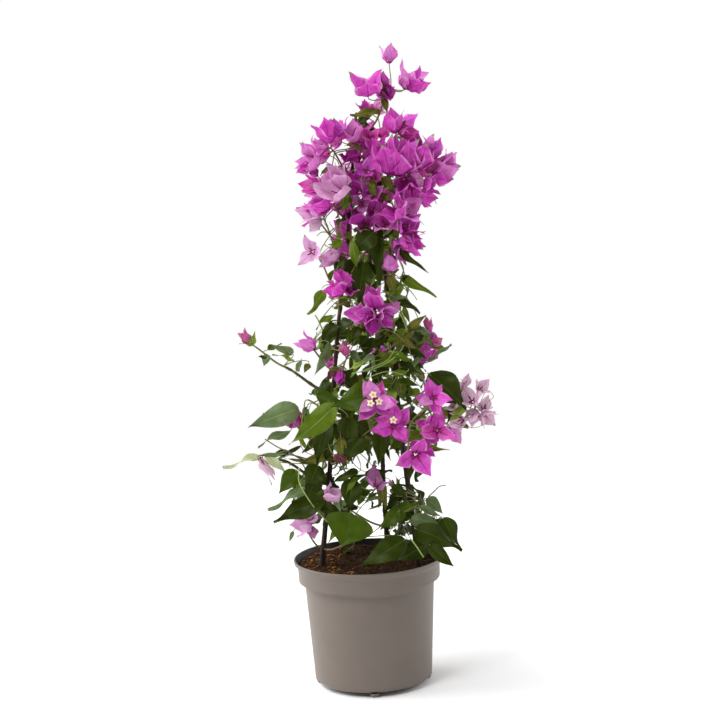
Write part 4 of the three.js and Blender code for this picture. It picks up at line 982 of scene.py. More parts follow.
# Leaves that show in the photograph: base and tip of the blade, width and tone, for many its
# roll, and for some how much they curl.
# a dark or deep tone here paints the shade on a leaf inside the bush as well as its colour, and a grey tone
# paints a sheen
seenLeaves = {
    "top_blossom": [
        (33, -24, 646, 19, -30, 640, 12, "olive", 20), (40, -30, 659, 37, -35, 680, 8, "olive"),
        (39, -28, 657, 42, -33, 641, 8, "olive", 10), (26, -26, 643, 2, -31, 641, 12, "olive", 0, 0.3),
        (22, -14, 641, 5, -18, 627, 14, "dark", 0, 0.3),
    ],
    "dark_upper_leaves": [
        (22, -42, 514, -5, -48, 494, 27, "dark"), (-2, -46, 505, 1, -52, 473, 12, "mid", 20),
        (10, -44, 481, 4, -50, 433, 27, "dark", -10), (26, -38, 507, 27, -44, 456, 20, "dark", 10),
    ],
    "left_pair_blossom": [
        (-14, -40, 506, -27, -45, 498, 12, "mid"), (-10, -44, 488, -20, -49, 477, 10, "dark", 10),
        (-3, -36, 536, -15, -41, 527, 9, "dark"),
    ],
    "left_bright_blossom": [
        (-36, -38, 452, -51, -44, 427, 14, "mid", -30),
    ],
    "middle_right_leaves": [
        (50, -36, 455, 33, -42, 443, 12, "mid"), (51, -30, 463, 87, -35, 439, 12, "mid", 30),
        (37, -38, 465, 42, -43, 445, 11, "olive"), (50, -34, 493, 79, -39, 466, 9, "dark", 40),
        (46, -32, 439, 69, -37, 424, 10, "dark", 10), (51, -30, 459, 58, -35, 466, 4, "dark"),
        (35, -36, 441, 55, -41, 442, 7, "grey", 30), (23, -36, 440, 35, -41, 415, 10, "dark"),
        (51, -34, 429, 58, -39, 412, 7, "olive"), (51, -24, 417, 42, -29, 401, 12, "dark"),
    ],
    "small_left_blossom": [
        (-27, -30, 424, -47, -36, 414, 10, "mid", 20), (-25, -30, 414, -42, -36, 393, 17, "dark"),
        (-33, -40, 393, -48, -46, 359, 14, "grey", -30), (-27, -30, 407, -39, -35, 388, 14, "deep"),
    ],
    "left_tangle": [
        (2, -38, 410, -8, -44, 395, 15, "dark"), (-8, -38, 385, 5, -44, 370, 10, "grey", 20),
        (-36, -34, 385, -46, -40, 368, 10, "mid"), (-2, -26, 391, -12, -31, 408, 16, "deep"),
        (6, -22, 381, 15, -27, 398, 15, "dark"), (18, -24, 381, 27, -29, 366, 16, "dark"),
        (-16, -28, 361, -25, -33, 342, 13, "dark"),
    ],
    "right_pair_blossom": [
        (57, -40, 407, 73, -45, 422, 12, "olive"), (77, -40, 402, 57, -45, 406, 10, "grey", 20),
        (76, -40, 372, 101, -45, 388, 7, "grey", 40),
    ],
    "right_tangle": [
        (57, -50, 403, 30, -56, 388, 13, "olive"), (43, -50, 378, 13, -56, 368, 16, "mid"),
        (64, -36, 408, 77, -42, 398, 11, "grey", 10), (51, -44, 390, 75, -50, 374, 13, "dark", 10),
        (50, -50, 407, 27, -55, 392, 11, "mid"), (42, -52, 399, 67, -57, 385, 11, "olive", 10),
        (28, -46, 399, 9, -51, 384, 10, "dark"), (36, -54, 384, 59, -59, 373, 10, "mid"),
        (57, -48, 390, 38, -53, 375, 10, "dark", -10), (23, -50, 384, 36, -55, 367, 9, "olive", 10),
        (16, -50, 379, -6, -55, 371, 11, "grey", 20), (44, -48, 372, 67, -53, 359, 11, "dark"),
        (31, -50, 366, 11, -55, 354, 11, "dark", 10), (57, -42, 365, 74, -47, 383, 8, "grey"),
        (-8, -54, 369, 8, -59, 377, 8, "light"), (42, -44, 416, 58, -49, 400, 9, "dark"),
        (27, -44, 413, 13, -49, 402, 8, "mid", 20), (50, -56, 362, 26, -61, 358, 10, "mid", 10),
        (41, -50, 353, 65, -55, 346, 11, "deep"), (28, -30, 377, 18, -35, 360, 13, "dark"),
        (47, -30, 365, 55, -35, 348, 13, "deep"),
    ],
    "right_leaves": [
        (78, -40, 354, 115, -46, 317, 40, "dark"), (74, -36, 349, 101, -42, 355, 20, "dark", 20),
    ],
    "left_core_leaves": [
        (-30, -74, 330, -81, -80, 292, 27, "mid", -10, 0.6), (-47, -54, 340, -20, -60, 333, 16, "deep"),
        (14, -78, 342, -32, -84, 333, 38, "deep", 0, 0.5), (-36, -58, 314, -53, -64, 263, 30, "dark"),
        (-15, -62, 315, -13, -68, 265, 28, "dark", 10), (-24, -66, 294, -23, -71, 267, 12, "olive"),
        (-34, -30, 331, -49, -35, 310, 17, "dark"), (-18, -30, 326, -11, -35, 301, 17, "dark"),
        (-45, -34, 304, -57, -39, 282, 17, "deep"), (-52, -32, 287, -68, -37, 275, 13, "dark"),
    ],
    "left_leaves": [
        (-71, -48, 325, -125, -53, 308, 28, "grey", -10, 0.5),
        (-81, -36, 299, -117, -41, 287, 10, "grey", 20, 0.5),
    ],
    "low_left_spray": [
        (-117, -30, 272, -156, -35, 260, 9, "pale", 30, -0.3), (-84, -28, 274, -109, -34, 271, 9, "dark"),
        (-82, -34, 274, -118, -39, 274, 9, "grey", 10, 0.3),
        (-108, -36, 274, -86, -41, 252, 12, "pale", 10, 0.5), (-70, -34, 281, -89, -39, 272, 5, "dark"),
        (-65, -34, 263, -87, -39, 270, 5, "olive"),
    ],
    "lower_left_leaves": [
        (-75, -56, 258, -95, -62, 234, 24, "deep", -10), (-51, -50, 261, -66, -56, 234, 24, "dark"),
        (-48, -56, 222, -103, -62, 206, 31, "dark"), (-69, -62, 237, -107, -67, 218, 13, "grey", 30, 0.25),
        (-49, -54, 220, -24, -60, 203, 16, "dark", 20), (-51, -50, 252, -69, -55, 223, 21, "dark"),
    ],
    "front_core_leaves": [
        (-1, -66, 295, -22, -72, 262, 24, "dark"), (20, -60, 300, 15, -66, 261, 26, "dark"),
        (-8, -62, 254, -36, -68, 248, 15, "dark", 20), (4, -44, 251, 31, -49, 252, 10, "dark", 30),
        (17, -54, 240, 22, -60, 211, 12, "olive"), (-29, -34, 304, -21, -39, 280, 16, "dark"),
        (-12, -30, 289, -24, -35, 266, 15, "dark"), (-1, -34, 285, 9, -39, 268, 13, "deep"),
        (-37, -36, 280, -44, -41, 264, 14, "dark"), (19, -30, 295, 32, -35, 277, 14, "dark"),
    ],
    "low_pair_blossom": [
        (-13, -62, 246, -21, -68, 212, 26, "dark"), (-9, -64, 248, -23, -69, 233, 10, "mid", 10),
        (1, -46, 249, 31, -51, 253, 10, "dark", 10, 0.3), (-15, -56, 246, 3, -61, 252, 9, "deep", 0, 0.4),
    ],
    "front_leaves": [
        (-19, -74, 211, -30, -79, 175, 55, "deep"), (39, -78, 180, -12, -83, 155, 27, "dark", 0, 0.6),
        (34, -66, 209, 13, -71, 191, 18, "deep"), (-32, -60, 194, -44, -65, 178, 8, "mid", 0, 0.4),
    ],
    "low_right_leaves": [
        (54, -70, 190, 102, -76, 164, 28, "dark", 10), (84, -58, 197, 102, -64, 164, 26, "dark"),
        (68, -74, 172, 95, -80, 147, 22, "dark", 10), (50, -54, 198, 81, -60, 191, 17, "grey", 20),
    ],
    "lower_right_leaves": [
        (68, -42, 217, 85, -48, 200, 19, "grey"), (35, -42, 208, 64, -48, 215, 12, "mid", 30),
        (28, -38, 216, 48, -44, 230, 13, "dark", 20), (17, -50, 223, -2, -55, 222, 5, "grey"),
        (16, -50, 214, 0, -55, 211, 4, "olive"), (19, -46, 228, 14, -51, 211, 8, "olive"),
        (30, -46, 234, 46, -51, 221, 13, "dark"), (33, -46, 222, 20, -51, 207, 13, "dark", 10),
        (41, -58, 207, 13, -63, 194, 23, "deep", 0, 0.5), (60, -52, 211, 84, -57, 199, 11, "grey", 0, 0.5),
    ],
    "star_blossom": [
        (64, -64, 294, 45, -70, 288, 15, "mid"), (67, -60, 280, 93, -66, 275, 8, "olive", 30),
        (42, -62, 288, 26, -67, 277, 9, "deep"), (52, -50, 260, 48, -55, 238, 9, "dark"),
        (35, -58, 284, 39, -63, 267, 5, "dark"), (25, -58, 280, 29, -63, 266, 5, "dark"),
    ],
    "far_left_spray": [
        (-74, -16, 383, -96, -21, 394, 14, "grey", 0, 0.2),
        (-73, -18, 376, -95, -23, 385, 5, "light", 30, 0.3),
        (-101, -16, 382, -106, -21, 370, 11, "grey", 0, 0.3),
        (-103, -16, 380, -113, -21, 382, 5, "dark", 20, 0.5),
        (-70, -16, 363, -64, -21, 377, 10, "grey", -20, 0.3),
        (-56, -16, 370, -62, -21, 361, 8, "olive", 0, 0.3),
        (-118, -16, 394, -131, -21, 398, 5, "light", 20, 0.5),
        (-117, -16, 395, -114, -21, 410, 7, "light", 0, 0.3),
        (-118, -18, 396, -122, -23, 409, 7, "light", 0, 0.3),
    ],
    "middle_heart_blossom": [
        (35, -34, 572, 49, -39, 551, 11, "olive"), (52, -34, 562, 61, -39, 547, 8, "dark"),
    ],
    "upper_heart_blossom": [
        (22, -44, 570, 25, -49, 552, 10, "olive"), (13, -30, 603, 2, -35, 613, 7, "olive", 20),
        (19, -46, 566, 28, -51, 552, 10, "olive"),
    ],
    "pale_left_blossom": [
        (-1, -40, 564, -16, -45, 554, 9, "olive"), (-8, -34, 550, -15, -39, 542, 8, "light"),
        (-4, -42, 558, -16, -47, 552, 9, "light"), (-2, -40, 554, -12, -45, 538, 9, "mid"),
    ],
    "upper_right_blossom": [
        (54, -30, 635, 61, -35, 630, 5, "light"), (36, -44, 572, 46, -49, 559, 11, "olive"),
        (59, -34, 627, 62, -39, 634, 4, "olive"),
    ],
    "low_left_blossom": [
        (-82, -46, 188, -87, -51, 177, 5, "grey", 0, 0.5),
    ],
    "middle_blossom": [
        (17, -40, 415, 8, -45, 397, 10, "dark"),
    ],
}

# Thin shoots that show in the photograph: what they are, how thick, and where they pass.
seenShoots = [
    ("green", 0.9, [(-71, -58, 262), (-72, -62, 248), (-66, -64, 234), (-56, -62, 217), (-42, -56, 198)]),
    ("green", 0.7, [(45, -40, 434), (53, -48, 411), (48, -54, 389), (33, -58, 375), (12, -56, 366),
                    (-9, -48, 362)]),
    ("olive", 0.4, [(99, -40, 323), (117, -38, 317), (133, -34, 312), (139, -32, 320), (146, -30, 326),
                    (141, -30, 333), (136, -32, 330), (132, -34, 323)]),
    ("olive", 0.4, [(98, -38, 302), (111, -36, 296), (124, -34, 293), (135, -32, 296)]),
    ("brown", 0.8, [(69, -44, 220), (76, -44, 226), (82, -44, 231), (89, -44, 232)]),
    ("green", 0.9, [(47, -76, 181), (53, -76, 172), (60, -76, 160)]),
    ("green", 0.6, [(35, -44, 441), (45, -48, 427), (52, -50, 409), (47, -46, 392)]),
    ("olive", 0.35, [(59, -34, 506), (68, -34, 507), (78, -34, 510)]),
    ("olive", 0.35, [(64, -36, 526), (72, -36, 524), (77, -36, 519)]),
    ("brown", 0.45, [(-14, -30, 509), (-24, -34, 514), (-27, -34, 519), (-32, -30, 527)]),
    ("brown", 0.4, [(-13, -30, 508), (-20, -34, 517), (-26, -30, 527)]),
    ("brown", 0.5, [(-44, -50, 300), (-57, -58, 303), (-68, -60, 296), (-66, -60, 282), (-54, -56, 274)]),
    ("brown", 0.45, [(-36, -50, 290), (-50, -60, 297), (-60, -62, 289), (-50, -60, 279), (-36, -54, 283)]),
    ("green", 0.45, [(-9, -56, 362), (13, -60, 369), (31, -60, 377), (40, -56, 390)]),
    ("green", 0.5, [(6, -60, 357), (26, -64, 364), (43, -62, 361), (60, -58, 351), (69, -54, 336)]),
    ("brown", 0.9, [(-61, -26, 262), (-73, -34, 269), (-82, -38, 276), (-94, -38, 282), (-108, -39, 292)]),
    ("olive", 0.8, [(-64, -24, 265), (-79, -30, 271), (-98, -34, 274), (-116, -31, 273)]),
    ("olive", 0.45, [(15, -50, 402), (28, -56, 409), (41, -58, 404), (53, -54, 390), (57, -50, 374)]),
]
# Places that stay open to the sky, seen from the front: x, height, radius.
openSky = [(-73, 338, 20), (92, 210, 24), (90, 528, 20), (68, 433, 13), (-40, 511, 15), (-77, 165, 13),
           (-50, 411, 11), (66, 650, 15), (55, 465, 12), (96, 355, 13), (92, 264, 14), (72, 501, 13),
           (-105, 365, 20), (-18, 596, 10), (2, 680, 18), (34, 250, 8), (1, 197, 9), (-53, 354, 8),
           (-84, 190, 8), (-36, 481, 8), (-47, 448, 14), (-64, 358, 12), (-67, 385, 7), (86, 552, 8),
           (-8, 160, 12), (-65, 426, 14), (-121, 249, 10), (-34, 435, 7), (86, 413, 16), (61, 438, 9),
           (30, 253, 8), (-82, 257, 9), (-6, 249, 6), (-68, 272, 8), (-58, 171, 5), (-47, 175, 5),
           (-96, 285, 2)]
# Masses with fewer or more finer twigs than the rest.
finerTwigs = {"top_blossom": 0, "far_left_spray": 0, "faded_spray": 0, "low_left_spray": 0,
              "star_blossom": 0, "front_leaves": 0, "low_left_blossom": 0, "right_tangle": 3,
              "middle_right_leaves": 2}
growth = {
    "fanRise": 14, "fanDepth": 0.8, "leafDroop": 0.25, "fillDroop": 0.35, "spiralTurn": 137.5,
    "leafStalk": 9, "leafWidth": 0.66, "bractOpening": 50,
    "bladeMiddle": 0.45, "blossomMiddle": 0.5,  # shares of their length from where they start
    "blossomStalk": (0.75, 0.5), "leafStalkEnds": (0.62, 0.42), "finerTwig": (0.75, 0.4),  # end radii
    "crownFrom": 430,  # height where the crown begins
    # finer twigs to a mass and leaves on each, by whether it is in front and in the crown: few at
    # the front, where the sky shows between the stems, and where blossom stands
    "finer": {(True, False): (1, 4), (True, True): (1, 2), (False, False): (3, 5), (False, True): (2, 4)},
    "twigReach": 0.62,    # length of a finer twig, as a share of the mass's reach
    # room about a leaf's middle, as shares of its size: from other leaves, stems and open sky
    "room": 0.34, "stemShare": 0.18, "skyShare": 0.3,
    "stemRoom": 3.5,  # mm more from a stem
    "lowest": 128,    # height that no leaf's middle is under
    "overRim": (152, 64, 92),  # under this height, leaves keep out of the rim's radii
    "stemLeaves": {"bottom": 185, "top": 625, "step": 13, "size": 33, "stalk": 8, "reach": 80},
}
twigLook = {
    "olive": ("#6f7038", "#8c8c52"), "green": ("#7f9a4a", "#a3b56e"), "brown": ("#6b543a", "#8d7656"),
    "streakWidth": 5,  # mm along a paler streak
}
twigTones = ("olive", "green", "brown")


# A thin green or browned shoot: smooth skin, a little paler in streaks along it.
def shootSkin(tree, place, colour, paler):
    streaks, tint = mottled(tree, place, twigLook["streakWidth"], 3.0, 0.5, 0, 1, colour, paler)
    return reliefSurface(tree, tint, 0.55, 1.45, 0.5, 0.4, 0.2, streaks)


# The axes of a fan that faces a bearing: outwards, then right and up across it.
def fanAxes(bearing):
    rise, turn = math.radians(growth["fanRise"]), math.radians(bearing)
    out = Vector((math.cos(turn) * math.cos(rise), math.sin(turn) * math.cos(rise), math.sin(rise)))
    right = up.cross(out).normalized()
    return out, right, out.cross(right).normalized()


# A way from the middle of a fan: round it by degrees, and outwards by a share.
def inFan(axes, degrees, outShare):
    out, right, lift = axes
    angle = math.radians(degrees)
    return (right * math.cos(angle) + lift * math.sin(angle) + out * outShare).normalized()


# Whether something at a spot would, from the front, cover a place that stays open to the sky.
def inOpenSky(spot, size):
    eyeX, eyeY, eyeZ = viewpoint["place"]
    share = eyeY / (eyeY - spot.y)
    seenX, seenZ = eyeX + (spot.x - eyeX) * share, eyeZ + (spot.z - eyeZ) * share
    return any(math.hypot(seenX - x, seenZ - z) < radius + growth["skyShare"] * size
               for x, z, radius in openSky)


# Whether a leaf's middle has room: inside the mass's space, and clear of stems, pot and others.
def hasRoom(spot, middle, reach, size, taken):
    overRim, insideRim, outsideRim = growth["overRim"]
    if (spot - middle).length > reach or spot.z < growth["lowest"] or inOpenSky(spot, size):
        return False
    if spot.z < overRim and insideRim < math.hypot(spot.x, spot.y) < outsideRim:
        return False
    for name, *_ in stems:
        limb = limbs[name]
        share = min(1.0, max(0.0, (spot.z - limb["foot"]) / limb["length"]))
        if (limb["place"](share) - spot).length < growth["stemRoom"] + growth["stemShare"] * size:
            return False
    return all((spot - other).length > growth["room"] * (size + otherSize) / 2
               for other, otherSize in taken)


def nearestOn(path, spot):
    return min(range(len(path)), key=lambda number: (path[number] - spot).length)


# A stalk from the twig that carries it to the root of a leaf or blossom, which it enters along.
def addStalk(heap, path, root, along, endRadii, tone):
    number = nearestOn(path, root - along * 4)
    start = path[number]
    onward = (path[min(number + 1, len(path) - 1)] - path[max(number - 1, 0)]).normalized()
    gap = (root - start).length
    places = [start, start + onward * (0.3 * gap), root - along * (0.42 * gap), root]
    steps = 3 + int(gap / 6)
    radii = [mixed(*endRadii, step / steps) for step in range(steps + 1)]
    addTube(heap, bezierPath(places, steps), radii, 6, twigTones.index(tone))


# Hangs a blossom or a leaf on a twig's path by its stalk, and notes the place that it takes.
def hangBlossom(plant, path, seat, axis, size, roll, opening, kind, stars, seed, tone):
    addStalk(plant["twigs"], path, seat, axis, growth["blossomStalk"], tone)
    addBlossom(plant["bracts"], seat, size, axis, roll, opening, kind, stars, seed)
    plant["taken"].append((seat + axis * size * growth["blossomMiddle"], size * 1.1))


def hangLeaf(plant, path, base, end, along, width, tone, facing, seed, curl=1):
    stalkTone = "green" if tone in ("light", "mid") else "olive"
    addStalk(plant["twigs"], path, base, along, growth["leafStalkEnds"], stalkTone)
    addLeaf(plant["leaves"], base, end, width, tone, facing, seed, curl)
    plant["taken"].append((base.lerp(end, growth["bladeMiddle"]), (end - base).length))


# A leaf by the place where its stalk leaves the twig. A larger leaf has a longer stalk.
def leafOn(plant, path, root, along, size, slim, facing, tone, seed, stalk=None):
    stalk = growth["leafStalk"] * (0.5 + size / 60) if stalk is None else stalk
    base = root + along * stalk
    hangLeaf(plant, path, base, base + along * size, along, size * growth["leafWidth"] * slim, tone,
             facing, seed)


# How the leaf tones are dealt by height, and the kinds of bract among blossoms in a fan.
toneDeals = {
    # low down most leaves take the dark and deep tones: painted shade under the crown
    "low": ("dark", "dark", "deep", "dark", "mid", "deep", "grey"),
    "middle": ("dark", "deep", "mid", "dark", "light", "deep", "olive", "mid"),
    "high": ("mid", "deep", "mid", "light", "dark", "olive"),
}
kindDeal = ("vivid", "vivid", "light", "vivid", "deep", "vivid", "pale", "deep", "vivid", "light")


def toneFor(height, seed, number):
    deal = toneDeals["low" if height < 260 else "middle" if height < growth["crownFrom"] else "high"]
    return deal[int(len(deal) * chance(seed, 500 + number)) % len(deal)]


# The blossoms of a mass: the placed ones, or else a fan of them about its tip.
def growBlossoms(plant, mass):
    name, tip, path, axes, seed = (mass[key] for key in ("name", "tip", "path", "axes", "seed"))
    for number, blossom in enumerate(seenBlossoms.get(name, []) + innerBlossoms.get(name, [])):
        x, y, z, size, turn, towards, roll, opening, kind, *stars = blossom
        turn, towards = math.radians(turn), math.radians(towards)
        axis = Vector((math.cos(turn) * math.cos(towards), -math.sin(towards),
                       math.sin(turn) * math.cos(towards)))
        hangBlossom(plant, path, Vector((x, y, z)), axis, size, roll, opening, kind, sum(stars),
                    seed * 11 + number, "green" if kind in ("pale", "faded") else "olive")
    count, firstTurn, fan, usual = mass["blossoms"]
    for number in range(0 if name in seenBlossoms else count):
        draw = lambda place: chance(seed, number + place)
        angle = firstTurn + 360 / count * number + 24 * (draw(0) - 0.5)
        size = usual * (0.9 + 0.2 * draw(40))
        for turnOn in (0, 60, -60, 120, -120, 180):
            seat = tip + inFan(axes, angle + turnOn, 0.25) * (fan * (0.88 + 0.24 * draw(20)))
            axis = inFan(axes, angle + turnOn, 1.1)
            if not inOpenSky(seat + axis * size * growth["blossomMiddle"], size):
                break
        else:
            continue
        opening = growth["bractOpening"] * (0.55 + 0.65 * draw(80))
        kind = kindDeal[int(10 * draw(90)) % 10]
        stars = 2 if opening > 45 and draw(95) < 0.3 else 0
        hangBlossom(plant, path, seat, axis, size, 360 * draw(60), opening, kind, stars,
                    seed * 11 + number, "olive")


# Leaves of a mass: the placed ones, or else a fan about its tip, and then some along its twig.
# At the front of the crown, blossom hides all but the placed ones.
def growLeaves(plant, mass):
    name, path, axes, seed = (mass[key] for key in ("name", "path", "axes", "seed"))
    for number, leaf in enumerate(seenLeaves.get(name, [])):
        base, end, (width, tone) = Vector(leaf[:3]), Vector(leaf[3:6]), leaf[6:8]
        roll, curl = leaf[8:] + (0, 1)[len(leaf) - 8:]
        along = (end - base).normalized()
        facing = Matrix.Rotation(math.radians(roll), 3, along) @ Vector((0, -1, 0.45))
        hangLeaf(plant, path, base, end, along, width, tone, facing, seed * 7 + number, curl)

    count, firstTurn, usual = mass["leaves"]
    blossomCount, fill = mass["blossoms"][0], mass["fill"]
    if blossomCount and mass["inCrown"] and mass["inFront"]:
        return
    grown = []  # where each stands on the twig, the way it points, size, facing and tone number
    for number in range(0 if name in seenLeaves else count):
        draw = lambda place: chance(seed, number + place)
        angle = firstTurn + 360 / count * number + 30 * (draw(100) - 0.5)
        share = (0.65 if blossomCount else 0.8) + 0.2 * draw(120)
        along = inFan(axes, angle, growth["fanDepth"] * (2 * draw(110) - 0.7)) - up * growth["leafDroop"]
        grown.append((share, along, usual * (0.85 + 0.3 * draw(140)), 0.5 * draw(160), number, 0))
    for number in range(fill):
        draw = lambda place: chance(seed, number + place)
        angle = growth["spiralTurn"] * number + 360 * chance(seed, 220)
        share = 0.25 + 0.6 * (number + draw(200)) / fill
        along = inFan(axes, angle, growth["fanDepth"] * (2 * draw(240) - 1.2)) - up * growth["fillDroop"]
        grown.append((share, along, usual * (0.7 + 0.35 * draw(260)), 0.4 + 0.6 * draw(280), number, 1))
    for share, along, size, lift, number, filling in grown:
        root, along = mass["arch"]["place"](share), along.normalized()
        spot = root + along * (growth["leafStalk"] + size * growth["bladeMiddle"])
        if hasRoom(spot, mass["middle"], mass["reach"], size, plant["taken"]):
            leafOn(plant, path, root, along, size, 1, axes[0] + up * lift,
                   toneFor(root.z, seed, number + 40 * filling), seed * 7 + number + 50 * filling)


def growMass(plant, seed, name, carrier, height, tip, bearing, blossoms, leaves, fill, reach):
    tip = Vector(tip)
    start, leave = leaving(carrier, height, tip)
    arch = archedLimb(start, leave, tip, limbRule["stemArch"], 0, 0)
    path = [start - leave * limbRule["overlap"]] + [arch["place"](n / 14) for n in range(15)]
    radii = [mixed(limbRule["twigThick"], limbRule["twigThin"], n / 15) for n in range(16)]
    addTube(plant["twigs"], path, radii, 8, twigTones.index("olive" if seed % 3 else "brown"))
    axes = fanAxes(bearing)
    mass = {"name": name, "seed": seed, "tip": tip, "arch": arch, "path": path, "axes": axes,
            "middle": start.lerp(tip, 0.75), "blossoms": blossoms, "leaves": leaves, "fill": fill,
            "reach": reach, "inFront": axes[0].y < -0.5, "inCrown": tip.z > growth["crownFrom"]}
    growBlossoms(plant, mass)
    growLeaves(plant, mass)
    return mass


# Finer twigs on a mass's own twig: leaves stand by turns along each, smaller towards its tip.
def growFiner(plant, mass):
    seed, axes, middle, reach = (mass[key] for key in ("seed", "axes", "middle", "reach"))
    usual = max(mass["leaves"][2], 20)
    twigCount, leafCount = growth["finer"][mass["inFront"], mass["inCrown"]]
    for number in range(finerTwigs.get(mass["name"], twigCount)):
        share = 0.3 + 0.6 * (number + chance(seed, number + 300)) / twigCount
        angle = growth["spiralTurn"] * number + 360 * chance(seed, 310)
        away = inFan(axes, angle, 1.2 * chance(seed, number + 320) - 0.8)
        start = mass["arch"]["place"](share)
        length = reach * growth["twigReach"] * (0.7 + 0.5 * chance(seed, number + 330))
        end = start + away * length - up * (0.12 * length)
        if not hasRoom(end, middle, reach * 1.02, 6, []):
            end = start.lerp(end, 0.7)
        places = [start, start + away * (0.35 * length), end + up * (0.16 * length) - away * (0.3 * length),
                  end]
        path = bezierPath(places, 9)
        radii = [mixed(*growth["finerTwig"], step / 9) for step in range(10)]
        addTube(plant["twigs"], path, radii, 6, twigTones.index("green" if number == 1 else "olive"))
        for count in range(leafCount):
            draw = lambda place: chance(seed, count + place + 10 * number)
            along = 0.3 + 0.7 * (count + 0.4) / leafCount
            root = bezier(places, along)
            way = (bezier(places, min(1, along + 0.05)) - bezier(places, along - 0.05)).normalized()
            side = way.cross(axes[0]).normalized()
            turn = math.radians(180 * count + 50 * (draw(340) - 0.5))
            out = side * math.cos(turn) + axes[0] * (math.sin(turn) + 0.25)
            leafWay = (way * (0.55 + 0.5 * along) + out * 0.8 - up * 0.22).normalized()
            size = usual * (0.72 - 0.34 * along) * (0.85 + 0.3 * draw(380))
            stalk = 3 + size * 0.1
            spot = root + leafWay * (stalk + size * growth["bladeMiddle"])
            if hasRoom(spot, middle, reach, size, plant["taken"]):
                facing = axes[0] * 0.8 + up * (0.3 + 0.5 * chance(seed, count + 400)) + way * 0.2
                leafOn(plant, path, root, leafWay, size, 0.95, facing,
                       toneFor(root.z, seed, 100 + count + 10 * number),
                       seed * 13 + count + 20 * number, stalk)


# Single leaves that hang beside the woody stems and face left or right by turns.
def growStemLeaves(plant):
    g = growth["stemLeaves"]
    for order, (name, *_) in enumerate(stems):
        limb = limbs[name]
        path = [limb["place"](step / 60) for step in range(61)]
        for number in range(int((g["top"] - g["bottom"]) / g["step"])):
            draw = lambda place: chance(900 + 40 * order + number, place)
            share = (g["bottom"] + g["step"] * (number + draw(1)) - limb["foot"]) / limb["length"]
            side = 1 if number % 2 else -1
            deep = (1 if number % 4 < 2 else -1) * (0.35 + 0.6 * draw(5))
            along = Vector((0.3 * side, deep, -0.25 - 0.7 * draw(2))).normalized()
            size = g["size"] * (0.75 + 0.5 * draw(3))
            stalk = g["stalk"] * (0.6 + 0.8 * draw(4))
            root = limb["place"](share) + Vector((side * 2, 0, 0))
            beside = Vector((side * stalk * 0.6, 0, 0))
            spot = root + along * (stalk + size * growth["bladeMiddle"]) + beside
            if share < 0.97 and hasRoom(spot, root, g["reach"], size * 0.5, plant["taken"]):
                leafOn(plant, path, root + beside, along, size, 1, Vector((side, 0.15, 0.5)),
                       toneFor(root.z, 60 + order, number), 1700 + 40 * order + number, stalk)


def growPlant():
    plant = {"twigs": newHeap(), "leaves": newHeap(), "bracts": newHeap(), "taken": []}
    grown = [growMass(plant, number + 1, *row) for number, row in enumerate(masses)]
    for mass in grown:
        growFiner(plant, mass)
    growStemLeaves(plant)
    for tone, radius, places in seenShoots:
        path = smoothPath([Vector(place) for place in places], 6)
        radii = [radius * (1 - 0.35 * step / len(path)) for step in range(len(path))]
        addTube(plant["twigs"], path, radii, 7, twigTones.index(tone))
    skins = [makeMaterial(tone + "ShootSkin", shootSkin, *twigLook[tone]) for tone in twigTones]
    makeObject("twigs", plant["twigs"], skins, [])
    leafy = [mass["name"] for mass in grown if not mass["blossoms"][0]]
    flowering = [mass["name"] for mass in grown if mass["blossoms"][0]]
    makeObject("leafBlades", plant["leaves"], leafMaterials(), leafy)
    makeObject("bracts", plant["bracts"], bractMaterials(), flowering)
    print("leaves and blossoms placed:", len(plant["taken"]))


# A path through all the places, rounded between them.
def smoothPath(places, steps):
    path = []
    for number in range(len(places) - 1):
        one, other = places[number], places[number + 1]
        before = places[max(number - 1, 0)]
        after = places[min(number + 2, len(places) - 1)]
        curve = [one, one + (other - before) / 6, other - (after - one) / 6, other]
        path += bezierPath(curve, steps)[:-1]
    return path + [places[-1]]


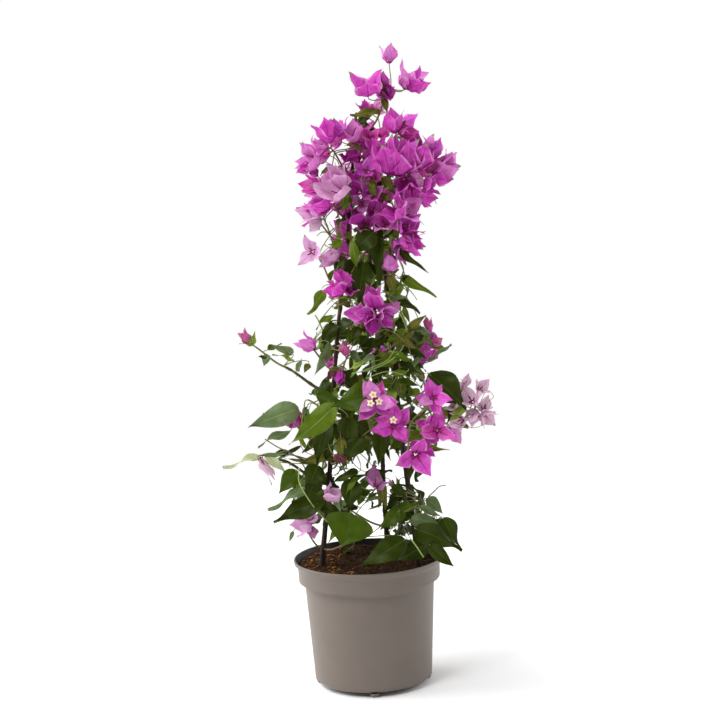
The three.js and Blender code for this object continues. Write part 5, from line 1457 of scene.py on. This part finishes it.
# A pale studio: a white room that is dimmer at the front, soft lights, and a white floor.
studio = {
    "front": 0.24, "back": 0.85, "aim": (0, 0, 0.35), "floor": "#fafafa", "floorRadius": 1.3,
    # name, place in metres, size, power
    "lights": [("sideLight", (-2.1, 0.4, 1.7), 3.0, 88), ("keyLight", (-1.2, -1.6, 2.5), 1.1, 42),
               ("rimLight", (1.9, 0.6, 0.9), 1.4, 16)],
}


def addSoftLight(name, place, size, power, aim):
    data = bpy.data.lights.new(name, "AREA")
    data.shape, data.size, data.energy = "DISK", size, power
    light = addToScene(name, data)
    light.location = place
    light.rotation_mode = "QUATERNION"
    light.rotation_quaternion = (Vector(aim) - Vector(place)).to_track_quat("-Z", "Y")


# Painted studio floor: matt, pale and even.
def paintedFloor(tree, place, colour):
    return addNode(tree, "BsdfPrincipled", {"Base Color": colour, "Roughness": 0.8, "IOR": 1.45,
                                            "Metallic": 0.0})


def makeStudio(s):
    scene = bpy.context.scene
    scene.view_settings.view_transform = "Standard"
    world = bpy.data.worlds.new("paleRoom")
    world.use_nodes = True
    tree = world.node_tree
    tree.nodes.clear()
    way = addNode(tree, "TexCoord", {}).outputs["Generated"]
    toBack = addNode(tree, "SeparateXYZ", {"Vector": way}).outputs["Y"]
    glow = addNode(tree, "MapRange", {"From Min": -0.8, "From Max": 0.6, "To Min": s["front"],
                                      "To Max": s["back"], "Value": toBack})
    room = addNode(tree, "Background", {"Color": "#ffffff", "Strength": glow})
    wall = addNode(tree, "Background", {"Color": "#ffffff", "Strength": 1.0})
    seen = addNode(tree, "LightPath", {}).outputs["Is Camera Ray"]
    both = addNode(tree, "MixShader", {0: seen, 1: room, 2: wall})
    addNode(tree, "OutputWorld", {"Surface": both})
    scene.world = world
    for name, place, size, power in s["lights"]:
        addSoftLight(name, place, size, power, s["aim"])
    rim = [onCircle(s["floorRadius"], 5 * step) for step in range(72)]
    mesh = bpy.data.meshes.new("studioFloor")
    mesh.from_pydata(rim, [], [list(range(len(rim)))])
    mesh.materials.append(makeMaterial("paintedFloor", paintedFloor, s["floor"]))
    addToScene("studioFloor", mesh)


makeCamera(viewpoint)
makeStudio(studio)
makePot(potShape)
makeSoil(soilShape)
makeLimbs()
growPlant()
